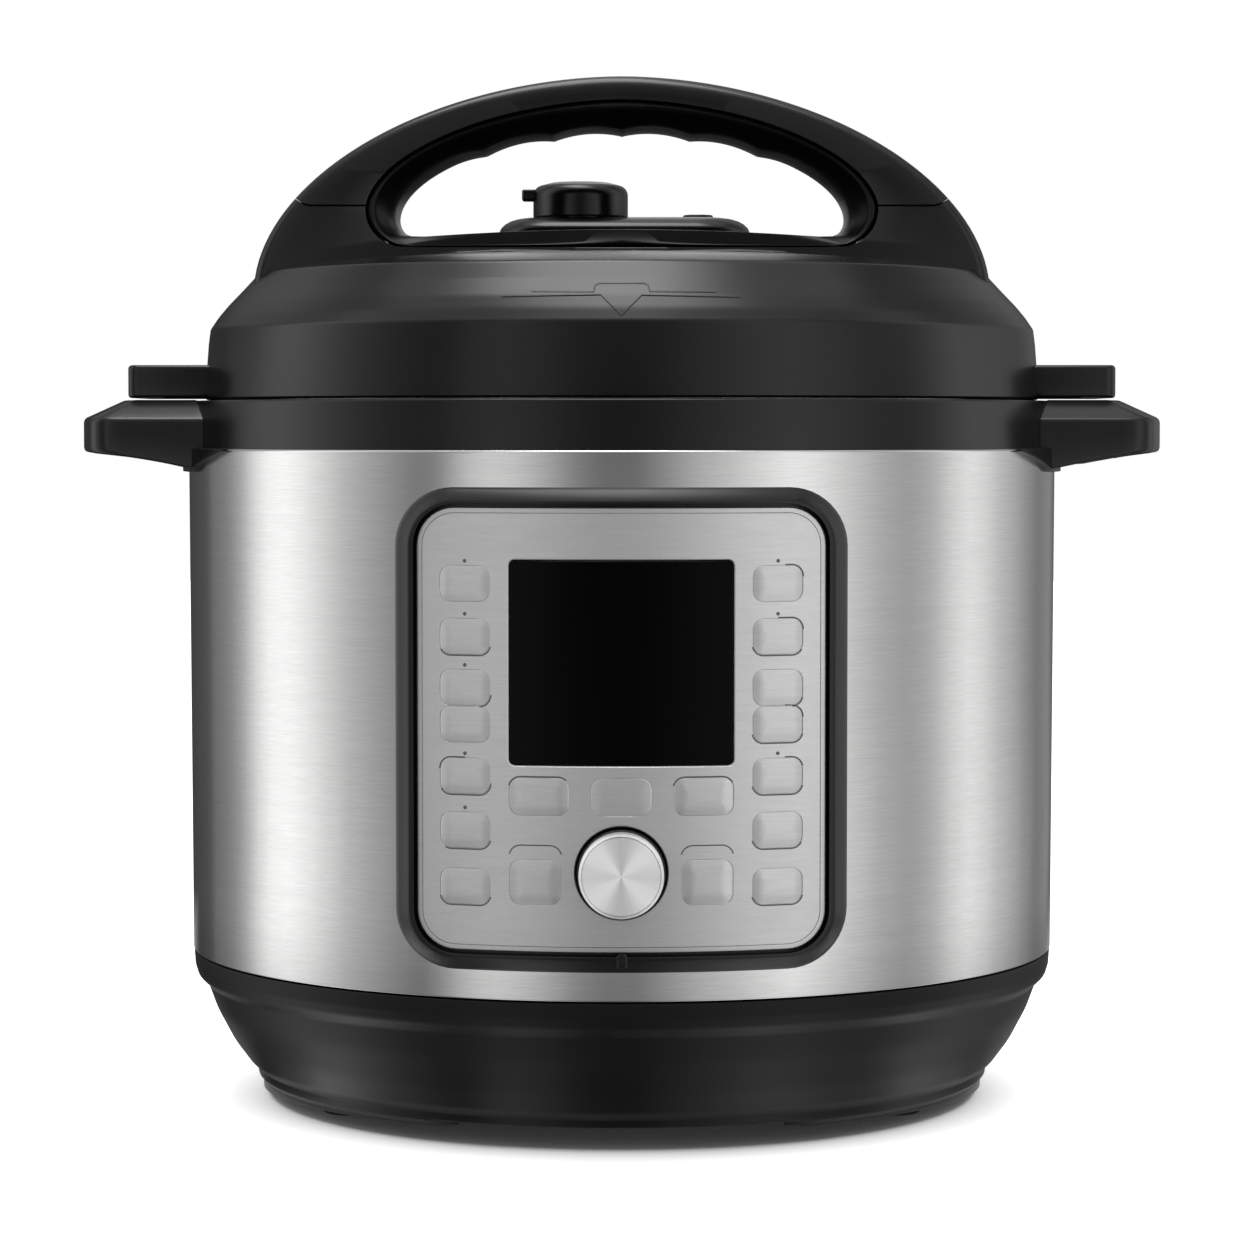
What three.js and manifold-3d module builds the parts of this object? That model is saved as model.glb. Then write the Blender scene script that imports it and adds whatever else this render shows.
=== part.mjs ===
// Electric pressure cooker with a twist-on lid, an arched lid handle and a curved control panel.
// Millimetres, +Z up. The floor is z = 0, the drum's axis is the Z axis and the control panel
// faces -Y. Every piece is one closed solid; pieces that touch keep a gap of one clearance.

import * as THREE from 'three';
import { mergeVertices } from 'three/addons/utils/BufferGeometryUtils.js';
import Module from 'manifold-3d';

const wasm = await Module();
wasm.setup();

// ---- Driving dimensions ----

// Fits
const clearance = 0.3;          // between pieces that seat on or beside each other
const slideFit = 0.4;           // round a piece that is dropped or pushed into its seat
const roundSides = 40;          // facets of every large turned piece
const smallSides = 20;          // facets of knobs, pins and tubes

// Base shell and feet
const skirtLift = 1.5;          // skirt's lower edge above the floor
const skirtDrop = 6.7;          // skirt's depth below the base's floor plate
const skirtSetback = 24;        // skirt's radius is this much less than the drum's
const skirtWall = 7;
const skirtGap = 98;            // width of the opening in the skirt, front and rear
const baseWall = 3;
const baseHeight = 47;          // floor to the seam under the steel drum
const baseBand = 8;             // height of the straight band below the seam
const baseLipRise = 6;          // lip that stands up inside the drum
const bowlShoulder = 5;         // step in radius from the band to the bowl
const footRadius = 9;
const footSetback = 18;         // circle of the feet inside the skirt's radius
const footAngle = 28;           // degrees from the handles' line
const footStemRadius = 3;
const footStemRise = 4.5;       // stem above the floor plate

// Steel drum and plastic collar
const drumRoom = 26;            // from the inner pot's side to the drum's
const drumTaper = 0.65;         // the drum is this much narrower at the seam
const drumWall = 1.2;
const rimAboveDrum = 4.1;       // pot's rim above the drum's upper edge
const collarRise = 14.5;        // collar's top above the drum's upper edge
const collarTuck = 10;          // collar's skirt inside the drum
const collarWall = 3;
const collarEdge = 1.5;         // rounding of the collar's upper edge

// Inner pot, outer pot and heater
const potRadius = 110;
const potHeight = 157.8;
const potWall = 1.2;
const potCorner = 14;           // rounding of the pot's floor
const potFlange = 7;            // width of the rolled rim
const potRim = 2.5;             // thickness of the rolled rim
const serviceHeight = 21.6;     // room for the electronics under the outer pot
const outerPotWall = 1.2;
const outerFlange = 4.6;        // width of the outer pot's flange
const heaterInset = 13;         // plate's edge inside the pot's side
const heaterThickness = 15.4;
const sensorRadius = 12;
const sensorCapHeight = 4;
const sensorHole = 6;           // wire hole in the outer pot's floor
const springWire = 1.1;         // radius of the spring's wire
const springTurns = 3;

// Bayonet ring and the lid's steel liner
const lugCount = 6;
const lugArc = 24;              // degrees of each lug
const lugThickness = 2.6;
const lugReach = 4.9;           // how far the lid's lugs stand out of its skirt
const lugGap = 1;               // above and below the lid's lugs when they are engaged
const lugRim = 0.8;             // lid's lugs above the pot's rim
const bayonetWall = 1.5;
const bayonetInner = 5;         // how far the ring's lugs stand inwards
const linerRoom = 8.3;          // from the inner pot's side to the liner's skirt
const linerWall = 1.5;
const linerHeight = 24.4;
const linerShoulder = 6;        // bevel between the liner's disc and its skirt
const sealWidth = 12.6;
const sealHeight = 10.9;
const rackWall = 1.4;

// Lid cover
const lidSetback = 5.05;        // lid's radius is this much less than the drum's
const lidWall = 2.6;
const lidWallHeight = 22.5;     // straight side, up to the crease
const lidDraft = 1.55;          // the side leans in by this much
const crestSetback = 19;
const shoulderRise = 16.8;      // crease to crest
const crownRise = 6.5;          // crest to the middle of the lid
const finLength = 17;           // end of a lid fin beyond the drum's radius
const finWidth = 52;
const finThickness = 9.5;
const finLift = 0.5;
const bossRadius = 8;
const boltRadius = 3;
const boltHeadRadius = 8;
const boltHeadHeight = 3.5;
const boltEngage = 15;

// Lid handle
const archInset = 4;            // arch's foot inside the crest
const archFootDrop = 5.8;       // the arch's widest level below the crest
const archRise = 66.4;
const archPower = 1.9;
const archFootDepth = 70;       // front to back at the crest's level
const archTopDepth = 48;
const partingRise = 20.2;       // parting line of the two shells above the crest
const gripInsetX = 34.6;        // grip ring's side inside the arch's foot
const gripLevel = 19.2;         // widest level of the grip ring above the crest
const gripRise = 33.5;
const gripSole = 9.7;           // grip ring's underside above the crest
const gripPower = 1.8;
const gripWall = 8.9;           // grip ring's side wall, round the opening for the hand
const eyeLevel = 17.7;
const eyeRise = 28;
const eyeSill = 10.8;           // sill of the opening above the crest at its ends
const eyeCrown = 2.6;           // the sill is this much higher in the middle
const eyePower = 1.9;
const eyeCorner = 6;
const eyeThroat = 14;           // half depth of the narrow part of the opening
const eyeFlare = 5.5;           // how much the opening widens towards both faces
const fingerPitch = 21.5;
const fingerDepth = 1.3;
const gripInset = 0.8;          // grip ring's faces behind the arch's faces

// Steam valve, float valve and their platform
const platformWidth = 78;
const platformDepth = 43;
const platformY = 57.5;
const platformRise = 18.5;      // above the crest
const platformBevel = 4;
const platformCorner = 18;
const valveX = -13.7;
const valveRadius = 15.7;
const valveHeight = 12.6;
const valveLift = 0.4;
const pipeRadius = 4.5;
const pipeBore = 2;
const pipeRise = 6.7;           // pipe's end above the platform
const pipeTail = 9.5;           // pipe's end below the liner's disc
const pipeNutRadius = 8;
const pipeNutHeight = 4;
const tabReach = 3.6;
const tabWidth = 6;
const tabHeight = 4.2;
const floatX = 25;
const floatRadius = 4.7;
const floatRodRadius = 2.2;
const floatHead = 4.7;
const floatProud = 1;
const floatTravel = 4.5;
const floatTail = 12.5;         // rod's end below the liner's disc
const floatSealRadius = 6;
const floatSealHeight = 5;
const shieldRadius = 16;
const shieldWall = 1;
const shieldHeight = 13;
const shieldWindow = 6;

// Body handles
const handleLength = 34;        // how far a handle stands out from the drum
const handleHalfWidth = 42;
const handleCorner = 9;
const handleBulge = 2;          // the end face is convex by this much
const handleTopDrop = 0.5;      // handle's top below the collar's top
const handleChamferRise = 5.6;
const handleChamferRun = 12.6;
const handleEndDrop = 2.2;      // underside at the end, below the drum's upper edge
const handleRootDrop = 7.4;     // underside at the drum, below the drum's upper edge
const slotInset = 6;            // from the drum to the slot that takes a lid fin
const slotGap = 2;              // play round a fin in its slot
const padHalfAngle = 27;        // degrees of the mounting pad on the drum
const padThickness = 1.7;

// Control panel
const panelDrop = 0.9;          // panel's centre below the middle of the drum
const plateWidth = 116.6;
const plateMargin = 30.5;       // plate's height is this much less than the drum's
const plateCorner = 11;
const plateThickness = 1.5;
const plateProud = 1;           // plate's back in front of the drum's largest radius
const bezelWidth = 5.6;         // bezel beyond the plate
const bezelLip = 3.8;           // width of the bezel's raised rim
const bezelProud = 1.1;         // rim in front of the plate
const bezelDepth = 4;           // bezel's flange behind the plate
const bezelSeat = 3;            // flange under the plate's edge
const windowWidth = 63.4;
const windowHeight = 57.8;
const windowCorner = 1.6;
const windowRise = 19.1;        // window's centre above the panel's centre
const dialRadius = 12.5;
const dialGap = 0.6;
const dialProud = 9;
const dialRise = -40.2;
const dialTail = 5;             // dial's skirt behind the plate's face
const dialWall = 1.5;
const dialChamfer = 1;
const shaftRadius = 3;
const dialTravel = 0.8;
const keyCorner = 2.6;
const keyProud = 0.35;
const keyTravel = 0.5;
const keyFlange = 0.1;          // ledge round a key behind the plate, beyond its hole
const keyFlangeThickness = 0.9;
const keyStem = 3;
const sideKeyX = 44.35;
const sideKeySize = [14.7, 9.2];
const sideKeyRows = [41.3, 26.3, 11.8, 1.4, -13.3, -28.7, -44.7];
const middleKeySize = [17, 10.4];
const middleKeyXs = [-23.3, 0, 23.3];
const middleKeyRow = -18.7;
const largeKeySize = [14.7, 12.5];
const largeKeyX = 24.35;
const largeKeyRow = -43;

// Boards behind the panel and in the base
const boardSetback = 19.6;      // control board's back inside the drum's radius
const boardThickness = 1.6;
const boardWidth = 106;
const boardMargin = 13.9;       // control board's height is this much less than the plate's
const moduleWidth = 58;
const moduleHeight = 54;
const encoderSize = 13;
const encoderDepth = 7;
const bushingRadius = 4.5;
const bushingLength = 5;
const powerBoardSize = [112, 76];
const powerPartsRise = 13;
const transformerInset = 14;    // from the board's edge to the transformer
const transformerWidth = 24;
const postRise = 4.5;
const postInset = 8;
const postRadius = 4;
const switchX = 52;
const switchSize = [22, 14, 9.5];

// Power inlet, condensation cup and its rail at the rear
const inletRise = 25;           // inlet's centre above the seam under the drum
const inletFlange = [44, 34];
const inletBody = [34, 24];
const inletDepth = 20;
const inletProud = 2;
const socketSize = [26, 18];
const socketDepth = 16;
const pinSize = [2, 9, 5];      // thickness, length and width of an inlet pin
const pinPitch = 7;
const cupWidth = 48;
const cupHeight = 46;
const cupWall = 1.6;
const cupDepth = 9.6;           // front to back
const cupDrop = 5.5;            // cup's rim below the drum's upper edge
const cupFlange = 4;
const cupFlangeThickness = 2;
const railPlate = 1.3;
const railArm = 3.5;
const railArmHeight = 4;

// ---- Levels and radii that follow from them ----

const drumTopRadius = potRadius + drumRoom;
const skirtRadius = drumTopRadius - skirtSetback;
const footCircle = skirtRadius - footSetback;
const heaterRadius = potRadius - heaterInset;
const linerSkirtRadius = potRadius + linerRoom;
const lidRadius = drumTopRadius - lidSetback;
const crestRadius = drumTopRadius - crestSetback;
const finReach = drumTopRadius + finLength;
const archHalfWidth = crestRadius - archInset;
const gripHalfWidth = archHalfWidth - gripInsetX;
const eyeHalfWidth = gripHalfWidth - gripWall;
const boardDistance = drumTopRadius - boardSetback;
const inletHeight = baseHeight + inletRise;
const plateUnderZ = skirtLift + skirtDrop;
const baseFloorZ = plateUnderZ + baseWall;
const outerPotUnderZ = baseFloorZ + serviceHeight;
const outerPotFloorZ = outerPotUnderZ + outerPotWall;
const heaterTopZ = outerPotFloorZ + clearance + heaterThickness;
const potBottomZ = heaterTopZ + clearance;
const potTopZ = potBottomZ + potHeight;
const drumTopZ = potTopZ - rimAboveDrum;
const collarTopZ = drumTopZ + collarRise;
const drumBottomRadius = drumTopRadius - drumTaper;
const drumBottomZ = baseHeight + clearance;
const collarRadius = drumTopRadius - drumWall - slideFit;
const potFlangeRadius = potRadius + potFlange;
const outerPotInner = potRadius + 2.5;
const outerPotRadius = outerPotInner + outerPotWall;
const outerFlangeRadius = outerPotRadius + outerFlange;
const outerFlangeTopZ = potTopZ - potRim - clearance;
const outerFlangeUnderZ = outerFlangeTopZ - outerPotWall;
const collarSeatZ = outerFlangeUnderZ - clearance;
const bayonetSeatZ = outerFlangeTopZ + outerPotWall;
const lidLugZ = potTopZ + lugRim;
const ringLugZ = lidLugZ + lugThickness + lugGap;
const lidLugRadius = linerSkirtRadius + lugReach;
const bayonetInnerRadius = lidLugRadius + 1;
const bayonetRadius = bayonetInnerRadius + bayonetWall;
const bayonetBoreRadius = bayonetRadius + slideFit;
const bayonetTopZ = ringLugZ + lugThickness;
const linerTopZ = lidLugZ + linerHeight;
const linerUnderZ = linerTopZ - linerWall;
const lidSeatZ = collarTopZ + clearance;
const creaseZ = lidSeatZ + lidWallHeight;
const crestZ = creaseZ + shoulderRise;
const lidTopZ = crestZ + crownRise;
const creaseRadius = lidRadius - lidDraft;
const platformTopZ = crestZ + platformRise;
const platformFootZ = crestZ + 3;
const archLevelZ = crestZ - archFootDrop;
const partingZ = crestZ + partingRise;
const plateInner = drumTopRadius + plateProud;
const plateFace = plateInner + plateThickness;
const bezelFace = plateFace + bezelProud;
const flangeFace = plateInner - clearance;
const boardFace = boardDistance + boardThickness;
const dialFace = plateFace + dialProud;
const panelCentre = (drumBottomZ + drumTopZ) / 2 - panelDrop;
const plateHeight = drumTopZ - drumBottomZ - plateMargin;
const boardHeight = plateHeight - boardMargin;
const dialCentreZ = panelCentre + dialRise;
const windowCentreZ = panelCentre + windowRise;
const encoderFace = boardFace + clearance + encoderDepth;
const inletFace = drumTopRadius + inletProud;

const radians = Math.PI / 180;

// ---- Solids ----

// A closed three.js geometry as a solid for cutting and joining, with its faces turned outwards.
function solid(geometry) {
  let bare = geometry.clone();
  bare.deleteAttribute('normal');
  bare.deleteAttribute('uv');
  bare = mergeVertices(bare, 1e-4);
  const points = bare.attributes.position.array;
  const corners = Array.from(bare.index.array);
  const faces = [];
  let volume = 0;
  for (let i = 0; i < corners.length; i += 3) {
    const [a, b, c] = corners.slice(i, i + 3);
    if (a === b || b === c || c === a) continue;
    faces.push(a, b, c);
    const [p, q, r] = [a, b, c].map((n) => new THREE.Vector3().fromArray(points, 3 * n));
    volume += p.dot(q.cross(r));
  }
  if (volume < 0) faces.reverse();
  return new wasm.Manifold(new wasm.Mesh({
    numProp: 3,
    vertProperties: new Float32Array(points),
    triVerts: new Uint32Array(faces),
  }));
}

function join(first, ...others) {
  return others.reduce((all, next) => all.add(next), first);
}

function cut(first, ...others) {
  return others.reduce((left, next) => left.subtract(next), first);
}

// A solid of revolution about the Z axis from a closed outline of [radius, height] points.
function turned(outline, sides = roundSides) {
  const points = [...outline, outline[0]].map(([r, z]) => new THREE.Vector2(r, z));
  return solid(new THREE.LatheGeometry(points, sides).rotateX(Math.PI / 2));
}

// A ring between two radii and two heights.
function ring(inner, outer, low, high, sides = roundSides) {
  return turned([[inner, low], [outer, low], [outer, high], [inner, high]], sides);
}

// A disc or rod on the Z axis.
function rod(radius, low, high, sides = smallSides) {
  return turned([[0, low], [radius, low], [radius, high], [0, high]], sides);
}

function box(lowX, highX, lowY, highY, lowZ, highZ) {
  const shape = new THREE.BoxGeometry(highX - lowX, highY - lowY, highZ - lowZ);
  return solid(shape.translate((lowX + highX) / 2, (lowY + highY) / 2, (lowZ + highZ) / 2));
}

function shapeOf(points) {
  return new THREE.Shape(points.map(([x, y]) => new THREE.Vector2(x, y)));
}

// The corners of a rectangle whose corners are rounded, with a few points on each corner.
function roundedRectangle(width, height, radius, steps = 3) {
  const points = [];
  for (let corner = 0; corner < 4; corner += 1) {
    const sideX = corner === 0 || corner === 3 ? 1 : -1;
    const sideY = corner < 2 ? 1 : -1;
    for (let step = 0; step <= steps; step += 1) {
      const angle = (corner + step / steps) * Math.PI / 2;
      points.push([
        sideX * (width / 2 - radius) + radius * Math.cos(angle),
        sideY * (height / 2 - radius) + radius * Math.sin(angle),
      ]);
    }
  }
  return points;
}

// An outline in X and Z, extruded along Y from near to far.
function acrossY(points, near, far) {
  const body = new THREE.ExtrudeGeometry(shapeOf(points), { depth: far - near, bevelEnabled: false });
  return solid(body.rotateX(Math.PI / 2).translate(0, far, 0));
}

// An outline in Y and Z, extruded along X from near to far.
function acrossX(points, near, far) {
  const body = new THREE.ExtrudeGeometry(shapeOf(points), { depth: far - near, bevelEnabled: false });
  return solid(body.rotateX(Math.PI / 2).rotateZ(Math.PI / 2).translate(near, 0, 0));
}

// An outline in X and Y, extruded upwards.
function upwards(points, low, high) {
  const body = new THREE.ExtrudeGeometry(shapeOf(points), { depth: high - low, bevelEnabled: false });
  return solid(body.translate(0, 0, low));
}

// A solid through plane outlines in space that have the same number of points.
function lofted(sections) {
  const count = sections[0].length;
  const faces = [];
  for (let s = 0; s + 1 < sections.length; s += 1) {
    for (let n = 0; n < count; n += 1) {
      const a = s * count + n;
      const b = s * count + (n + 1) % count;
      faces.push(a, b, a + count, b, b + count, a + count);
    }
  }
  const first = sections[0];
  const level = [0, 1, 2].find((axis) => first.every((point) => point[axis] === first[0][axis]));
  const [u, v] = [0, 1, 2].filter((axis) => axis !== level);
  const around = THREE.ShapeUtils.isClockWise(first.map((point) => new THREE.Vector2(point[u], point[v])));
  for (const end of [0, sections.length - 1]) {
    const contour = sections[end].map((point) => new THREE.Vector2(point[u], point[v]));
    for (const face of THREE.ShapeUtils.triangulateShape(contour, [])) {
      const corners = face.map((n) => n + end * count);
      faces.push(...((end === 0) === around ? corners : corners.reverse()));
    }
  }
  const geometry = new THREE.BufferGeometry();
  geometry.setAttribute('position', new THREE.Float32BufferAttribute(sections.flat(2), 3));
  geometry.setIndex(faces);
  return solid(geometry);
}

// A plane sector about the Z axis between two angles from +X, in degrees.
function sector(from, to, radius, low, high) {
  const points = [[0, 0]];
  for (let step = 0; step <= 4; step += 1) {
    const angle = (from + (to - from) * step / 4) * radians;
    points.push([radius * Math.cos(angle), radius * Math.sin(angle)]);
  }
  return upwards(points, low, high);
}

// ---- The assembly ----

const cooker = new THREE.Group();

const finishes = {
  blackPlastic: { color: 0x1b1b1c, roughness: 0.45, metalness: 0 },
  darkPlastic: { color: 0x121213, roughness: 0.55, metalness: 0 },
  steel: { color: 0xb9b8b6, roughness: 0.3, metalness: 1 },
  plate: { color: 0xc9c9c8, roughness: 0.38, metalness: 0.9 },
  aluminium: { color: 0xa9abad, roughness: 0.45, metalness: 1 },
  glass: { color: 0x040405, roughness: 0.08, metalness: 0 },
  board: { color: 0x1f5a36, roughness: 0.6, metalness: 0 },
  paleCup: { color: 0xcfd2d4, roughness: 0.25, metalness: 0 },
  rubber: { color: 0x19191a, roughness: 0.85, metalness: 0 },
  silicone: { color: 0xe3e1dc, roughness: 0.6, metalness: 0 },
};

function piece(name, body, finish) {
  const result = body.getMesh();
  const geometry = new THREE.BufferGeometry();
  geometry.setAttribute('position', new THREE.BufferAttribute(result.vertProperties, 3));
  geometry.setIndex(new THREE.BufferAttribute(result.triVerts, 1));
  const mesh = new THREE.Mesh(geometry, new THREE.MeshStandardMaterial(finishes[finish]));
  mesh.name = name;
  cooker.add(mesh);
  return mesh;
}

// ---- Base shell: a plastic bowl on a split skirt, with a lip that carries the drum ----

const bandRadius = drumBottomRadius;
const bowlTop = baseHeight - baseBand - 4.5;
const bowlRadius = bandRadius - bowlShoulder;
const lipRadius = drumBottomRadius - drumWall - slideFit;
const bowlRun = bowlRadius - skirtRadius - 3.5;
const bowlFall = bowlTop - plateUnderZ - 1;

// Points down the bowl's side, a quarter of an ellipse that steepens towards the top.
function bowlSide(inset, steps) {
  const points = [];
  for (let step = 0; step <= steps; step += 1) {
    const angle = (1 - step / steps) * 68 * radians;
    points.push([
      skirtRadius + 3.5 + bowlRun * Math.sin(angle) / Math.sin(68 * radians) - inset,
      plateUnderZ + 1 + bowlFall * (1 - Math.cos(angle)) / (1 - Math.cos(68 * radians)),
    ]);
  }
  return points;
}

const baseShellOutline = [
  [0, plateUnderZ],
  [skirtRadius - skirtWall, plateUnderZ],
  [skirtRadius - skirtWall, skirtLift],
  [skirtRadius - 0.6, skirtLift],
  [skirtRadius + 0.3, skirtLift + 2.5],
  [skirtRadius + 2.8, skirtLift + 5],
  ...bowlSide(0, 4).reverse(),
  [bandRadius - 1.3, baseHeight - baseBand],
  [bandRadius, baseHeight - baseBand + 4],
  [bandRadius, baseHeight],
  [lipRadius, baseHeight],
  [lipRadius, baseHeight + baseLipRise],
  [lipRadius - baseWall, baseHeight + baseLipRise],
  [lipRadius - baseWall, baseHeight - baseBand + 1],
  [bowlRadius - baseWall, bowlTop - 1],
  ...bowlSide(baseWall, 2).slice(1, 2),
  [skirtRadius - 2, baseFloorZ],
  [0, baseFloorZ],
];

function footPlaces() {
  const places = [];
  for (const [side, sideX] of [['left', -1], ['right', 1]]) {
    for (const [end, endY] of [['front', -1], ['rear', 1]]) {
      places.push({
        name: `foot_${end}_${side}`,
        x: sideX * footCircle * Math.cos(footAngle * radians),
        y: endY * footCircle * Math.sin(footAngle * radians),
      });
    }
  }
  return places;
}

function postPlaces() {
  const [width, depth] = powerBoardSize;
  const places = [];
  for (const sideX of [-1, 1]) {
    for (const sideY of [-1, 1]) {
      places.push([sideX * (width / 2 - postInset), sideY * (depth / 2 - postInset)]);
    }
  }
  return places;
}

function makeBaseShell() {
  let shell = turned(baseShellOutline);
  const gapSide = skirtGap / 2;
  const gapTop = plateUnderZ - 0.4;
  shell = cut(
    shell,
    box(-gapSide, gapSide, -skirtRadius - 1, -skirtRadius / 2, 0, gapTop),
    box(-gapSide, gapSide, skirtRadius / 2, skirtRadius + 1, 0, gapTop),
  );
  for (const place of footPlaces()) {
    const hole = rod(footStemRadius + clearance, plateUnderZ - 1, baseFloorZ + 1, 12);
    shell = shell.subtract(hole.translate([place.x, place.y, 0]));
  }
  for (const [x, y] of postPlaces()) {
    shell = shell.add(rod(postRadius, baseFloorZ - 1, baseFloorZ + postRise, 10).translate([x, y, 0]));
  }
  return shell;
}

piece('base_shell', makeBaseShell(), 'blackPlastic');

// Rubber feet, each with a stem pushed through the floor plate.
for (const place of footPlaces()) {
  const foot = turned([
    [0, 0],
    [footRadius - 1, 0],
    [footRadius, 1],
    [footRadius, plateUnderZ - clearance],
    [footStemRadius, plateUnderZ - clearance],
    [footStemRadius, baseFloorZ + footStemRise],
    [0, baseFloorZ + footStemRise],
  ], 16);
  piece(place.name, foot, 'rubber').position.set(place.x, place.y, 0);
}

// ---- Steel drum, open behind the control panel and at the power inlet ----

const drumOpeningWidth = plateWidth + 2 * (bezelWidth - bezelLip) + 2;
const drumOpeningHeight = plateHeight + 2 * (bezelWidth - bezelLip) + 2;
const drumOpeningCorner = plateCorner + bezelWidth - bezelLip + 1;

function panelPrism(width, height, corner, near, far, steps = 4) {
  const outline = roundedRectangle(width, height, corner, steps);
  return acrossY(outline.map(([x, z]) => [x, z + panelCentre]), -far, -near);
}

function makeDrum() {
  const wall = turned([
    [drumBottomRadius - drumWall, drumBottomZ],
    [drumBottomRadius, drumBottomZ],
    [drumTopRadius, drumTopZ],
    [drumTopRadius - drumWall, drumTopZ],
  ]);
  const inletOpening = box(
    -inletBody[0] / 2 - 1, inletBody[0] / 2 + 1,
    drumTopRadius / 2, drumTopRadius + 1,
    inletHeight - inletBody[1] / 2 - 1, inletHeight + inletBody[1] / 2 + 1,
  );
  return cut(
    wall,
    panelPrism(drumOpeningWidth, drumOpeningHeight, drumOpeningCorner, drumTopRadius / 2, drumTopRadius + 1),
    inletOpening,
  );
}

piece('outer_drum', makeDrum(), 'steel');

// ---- Collar: closes the drum and carries the bayonet ring and the outer pot ----

piece('collar', turned([
  [collarRadius, drumTopZ - collarTuck],
  [collarRadius, collarTopZ - collarEdge],
  [collarRadius - collarEdge, collarTopZ],
  [bayonetBoreRadius, collarTopZ],
  [bayonetBoreRadius, bayonetSeatZ],
  [outerFlangeRadius + slideFit, bayonetSeatZ],
  [outerFlangeRadius + slideFit, collarSeatZ],
  [outerPotRadius + 1.5, collarSeatZ],
  [outerPotRadius + 1.5, collarSeatZ - collarWall],
  [collarRadius - collarWall, collarSeatZ - collarWall],
  [collarRadius - collarWall, drumTopZ - collarTuck],
]), 'blackPlastic');

// ---- Bayonet ring in the collar, with lugs that hold the lid down ----

function lugSectors(offset, radius, low, high) {
  const pitch = 360 / lugCount;
  const lugs = [];
  for (let n = 0; n < lugCount; n += 1) {
    const middle = offset + n * pitch;
    lugs.push(sector(middle - lugArc / 2, middle + lugArc / 2, radius, low, high));
  }
  return join(...lugs);
}

function makeBayonetRing() {
  const band = ring(bayonetInnerRadius, bayonetRadius, bayonetSeatZ + clearance, bayonetTopZ);
  const lugBand = ring(bayonetInnerRadius - bayonetInner, bayonetInnerRadius + 0.5, ringLugZ, bayonetTopZ);
  const lugs = lugBand.intersect(lugSectors(90, bayonetRadius * 2, ringLugZ - 1, bayonetTopZ + 1));
  return band.add(lugs);
}

piece('locking_ring', makeBayonetRing(), 'steel');

// ---- Outer pot, heating plate, sensor and pressure switch ----

piece('outer_pot', turned([
  [sensorHole, outerPotUnderZ],
  [outerPotRadius, outerPotUnderZ],
  [outerPotRadius, outerFlangeUnderZ],
  [outerFlangeRadius, outerFlangeUnderZ],
  [outerFlangeRadius, outerFlangeTopZ],
  [outerPotInner, outerFlangeTopZ],
  [outerPotInner, outerPotFloorZ],
  [sensorHole, outerPotFloorZ],
]), 'aluminium');

piece('heating_plate', ring(
  sensorRadius + 2, heaterRadius, outerPotFloorZ + clearance, heaterTopZ,
), 'aluminium');

// The sensor's cap is held up against the pot's floor by its spring.
const sensorTopZ = heaterTopZ;
const sensorUnderZ = sensorTopZ - sensorCapHeight;
piece('sensor_cap', turned([
  [0, sensorUnderZ],
  [sensorRadius, sensorUnderZ],
  [sensorRadius, sensorTopZ - 0.8],
  [sensorRadius - 1.2, sensorTopZ],
  [0, sensorTopZ],
], smallSides), 'aluminium');

class SpringLine extends THREE.Curve {
  constructor(radius, low, high, turns) {
    super();
    Object.assign(this, { radius, low, high, turns });
  }

  getPoint(t, target = new THREE.Vector3()) {
    const angle = t * this.turns * 2 * Math.PI;
    const height = this.low + (this.high - this.low) * t;
    return target.set(this.radius * Math.cos(angle), this.radius * Math.sin(angle), height);
  }
}

const springRadius = sensorHole + springWire + 1.5;
const springLine = new SpringLine(
  springRadius,
  outerPotFloorZ + clearance + springWire,
  sensorUnderZ - clearance - springWire,
  springTurns,
);
const springSection = shapeOf([0, 1, 2, 3, 4].map((n) => [
  springWire * Math.cos(n * Math.PI / 2.5),
  springWire * Math.sin(n * Math.PI / 2.5),
]));
piece('sensor_spring', solid(new THREE.ExtrudeGeometry(springSection, {
  steps: springTurns * 9,
  extrudePath: springLine,
})), 'steel');

function makePressureSwitch() {
  const [width, depth, height] = switchSize;
  const top = outerPotUnderZ - clearance;
  const block = box(switchX - width / 2, switchX + width / 2, -depth / 2, depth / 2, top - height, top - 2);
  return block.add(rod(3.5, top - 3, top, 12).translate([switchX, 0, 0]));
}

piece('pressure_switch', makePressureSwitch(), 'darkPlastic');

// ---- Power board on its posts: board, transformer, relay and capacitors as one piece ----

function makePowerBoard() {
  const [width, depth] = powerBoardSize;
  const low = baseFloorZ + postRise + clearance;
  const face = low + boardThickness;
  const limit = switchX - switchSize[0] / 2 - 2;
  const coreNear = transformerInset - width / 2;
  return join(
    box(-width / 2, width / 2, -depth / 2, depth / 2, low, face),
    box(coreNear, coreNear + transformerWidth, -12, 12, face - 0.5, face + powerPartsRise),
    box(-8, 10, -26, -10, face - 0.5, face + powerPartsRise - 3),
    box(limit - 26, limit - 12, 8, 26, face - 0.5, face + powerPartsRise - 2),
    rod(6, face - 0.5, face + powerPartsRise - 1, 12).translate([-2, 18, 0]),
  );
}

piece('power_board', makePowerBoard(), 'board');

// ---- Inner pot: a steel pot with a rolled rim, standing on the heating plate ----

function potFloorCorner(radius, floor, corner, steps) {
  const points = [];
  for (let step = 0; step <= steps; step += 1) {
    const angle = (step / steps) * Math.PI / 2;
    points.push([
      radius - corner + corner * Math.sin(angle),
      floor + corner - corner * Math.cos(angle),
    ]);
  }
  return points;
}

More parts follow.
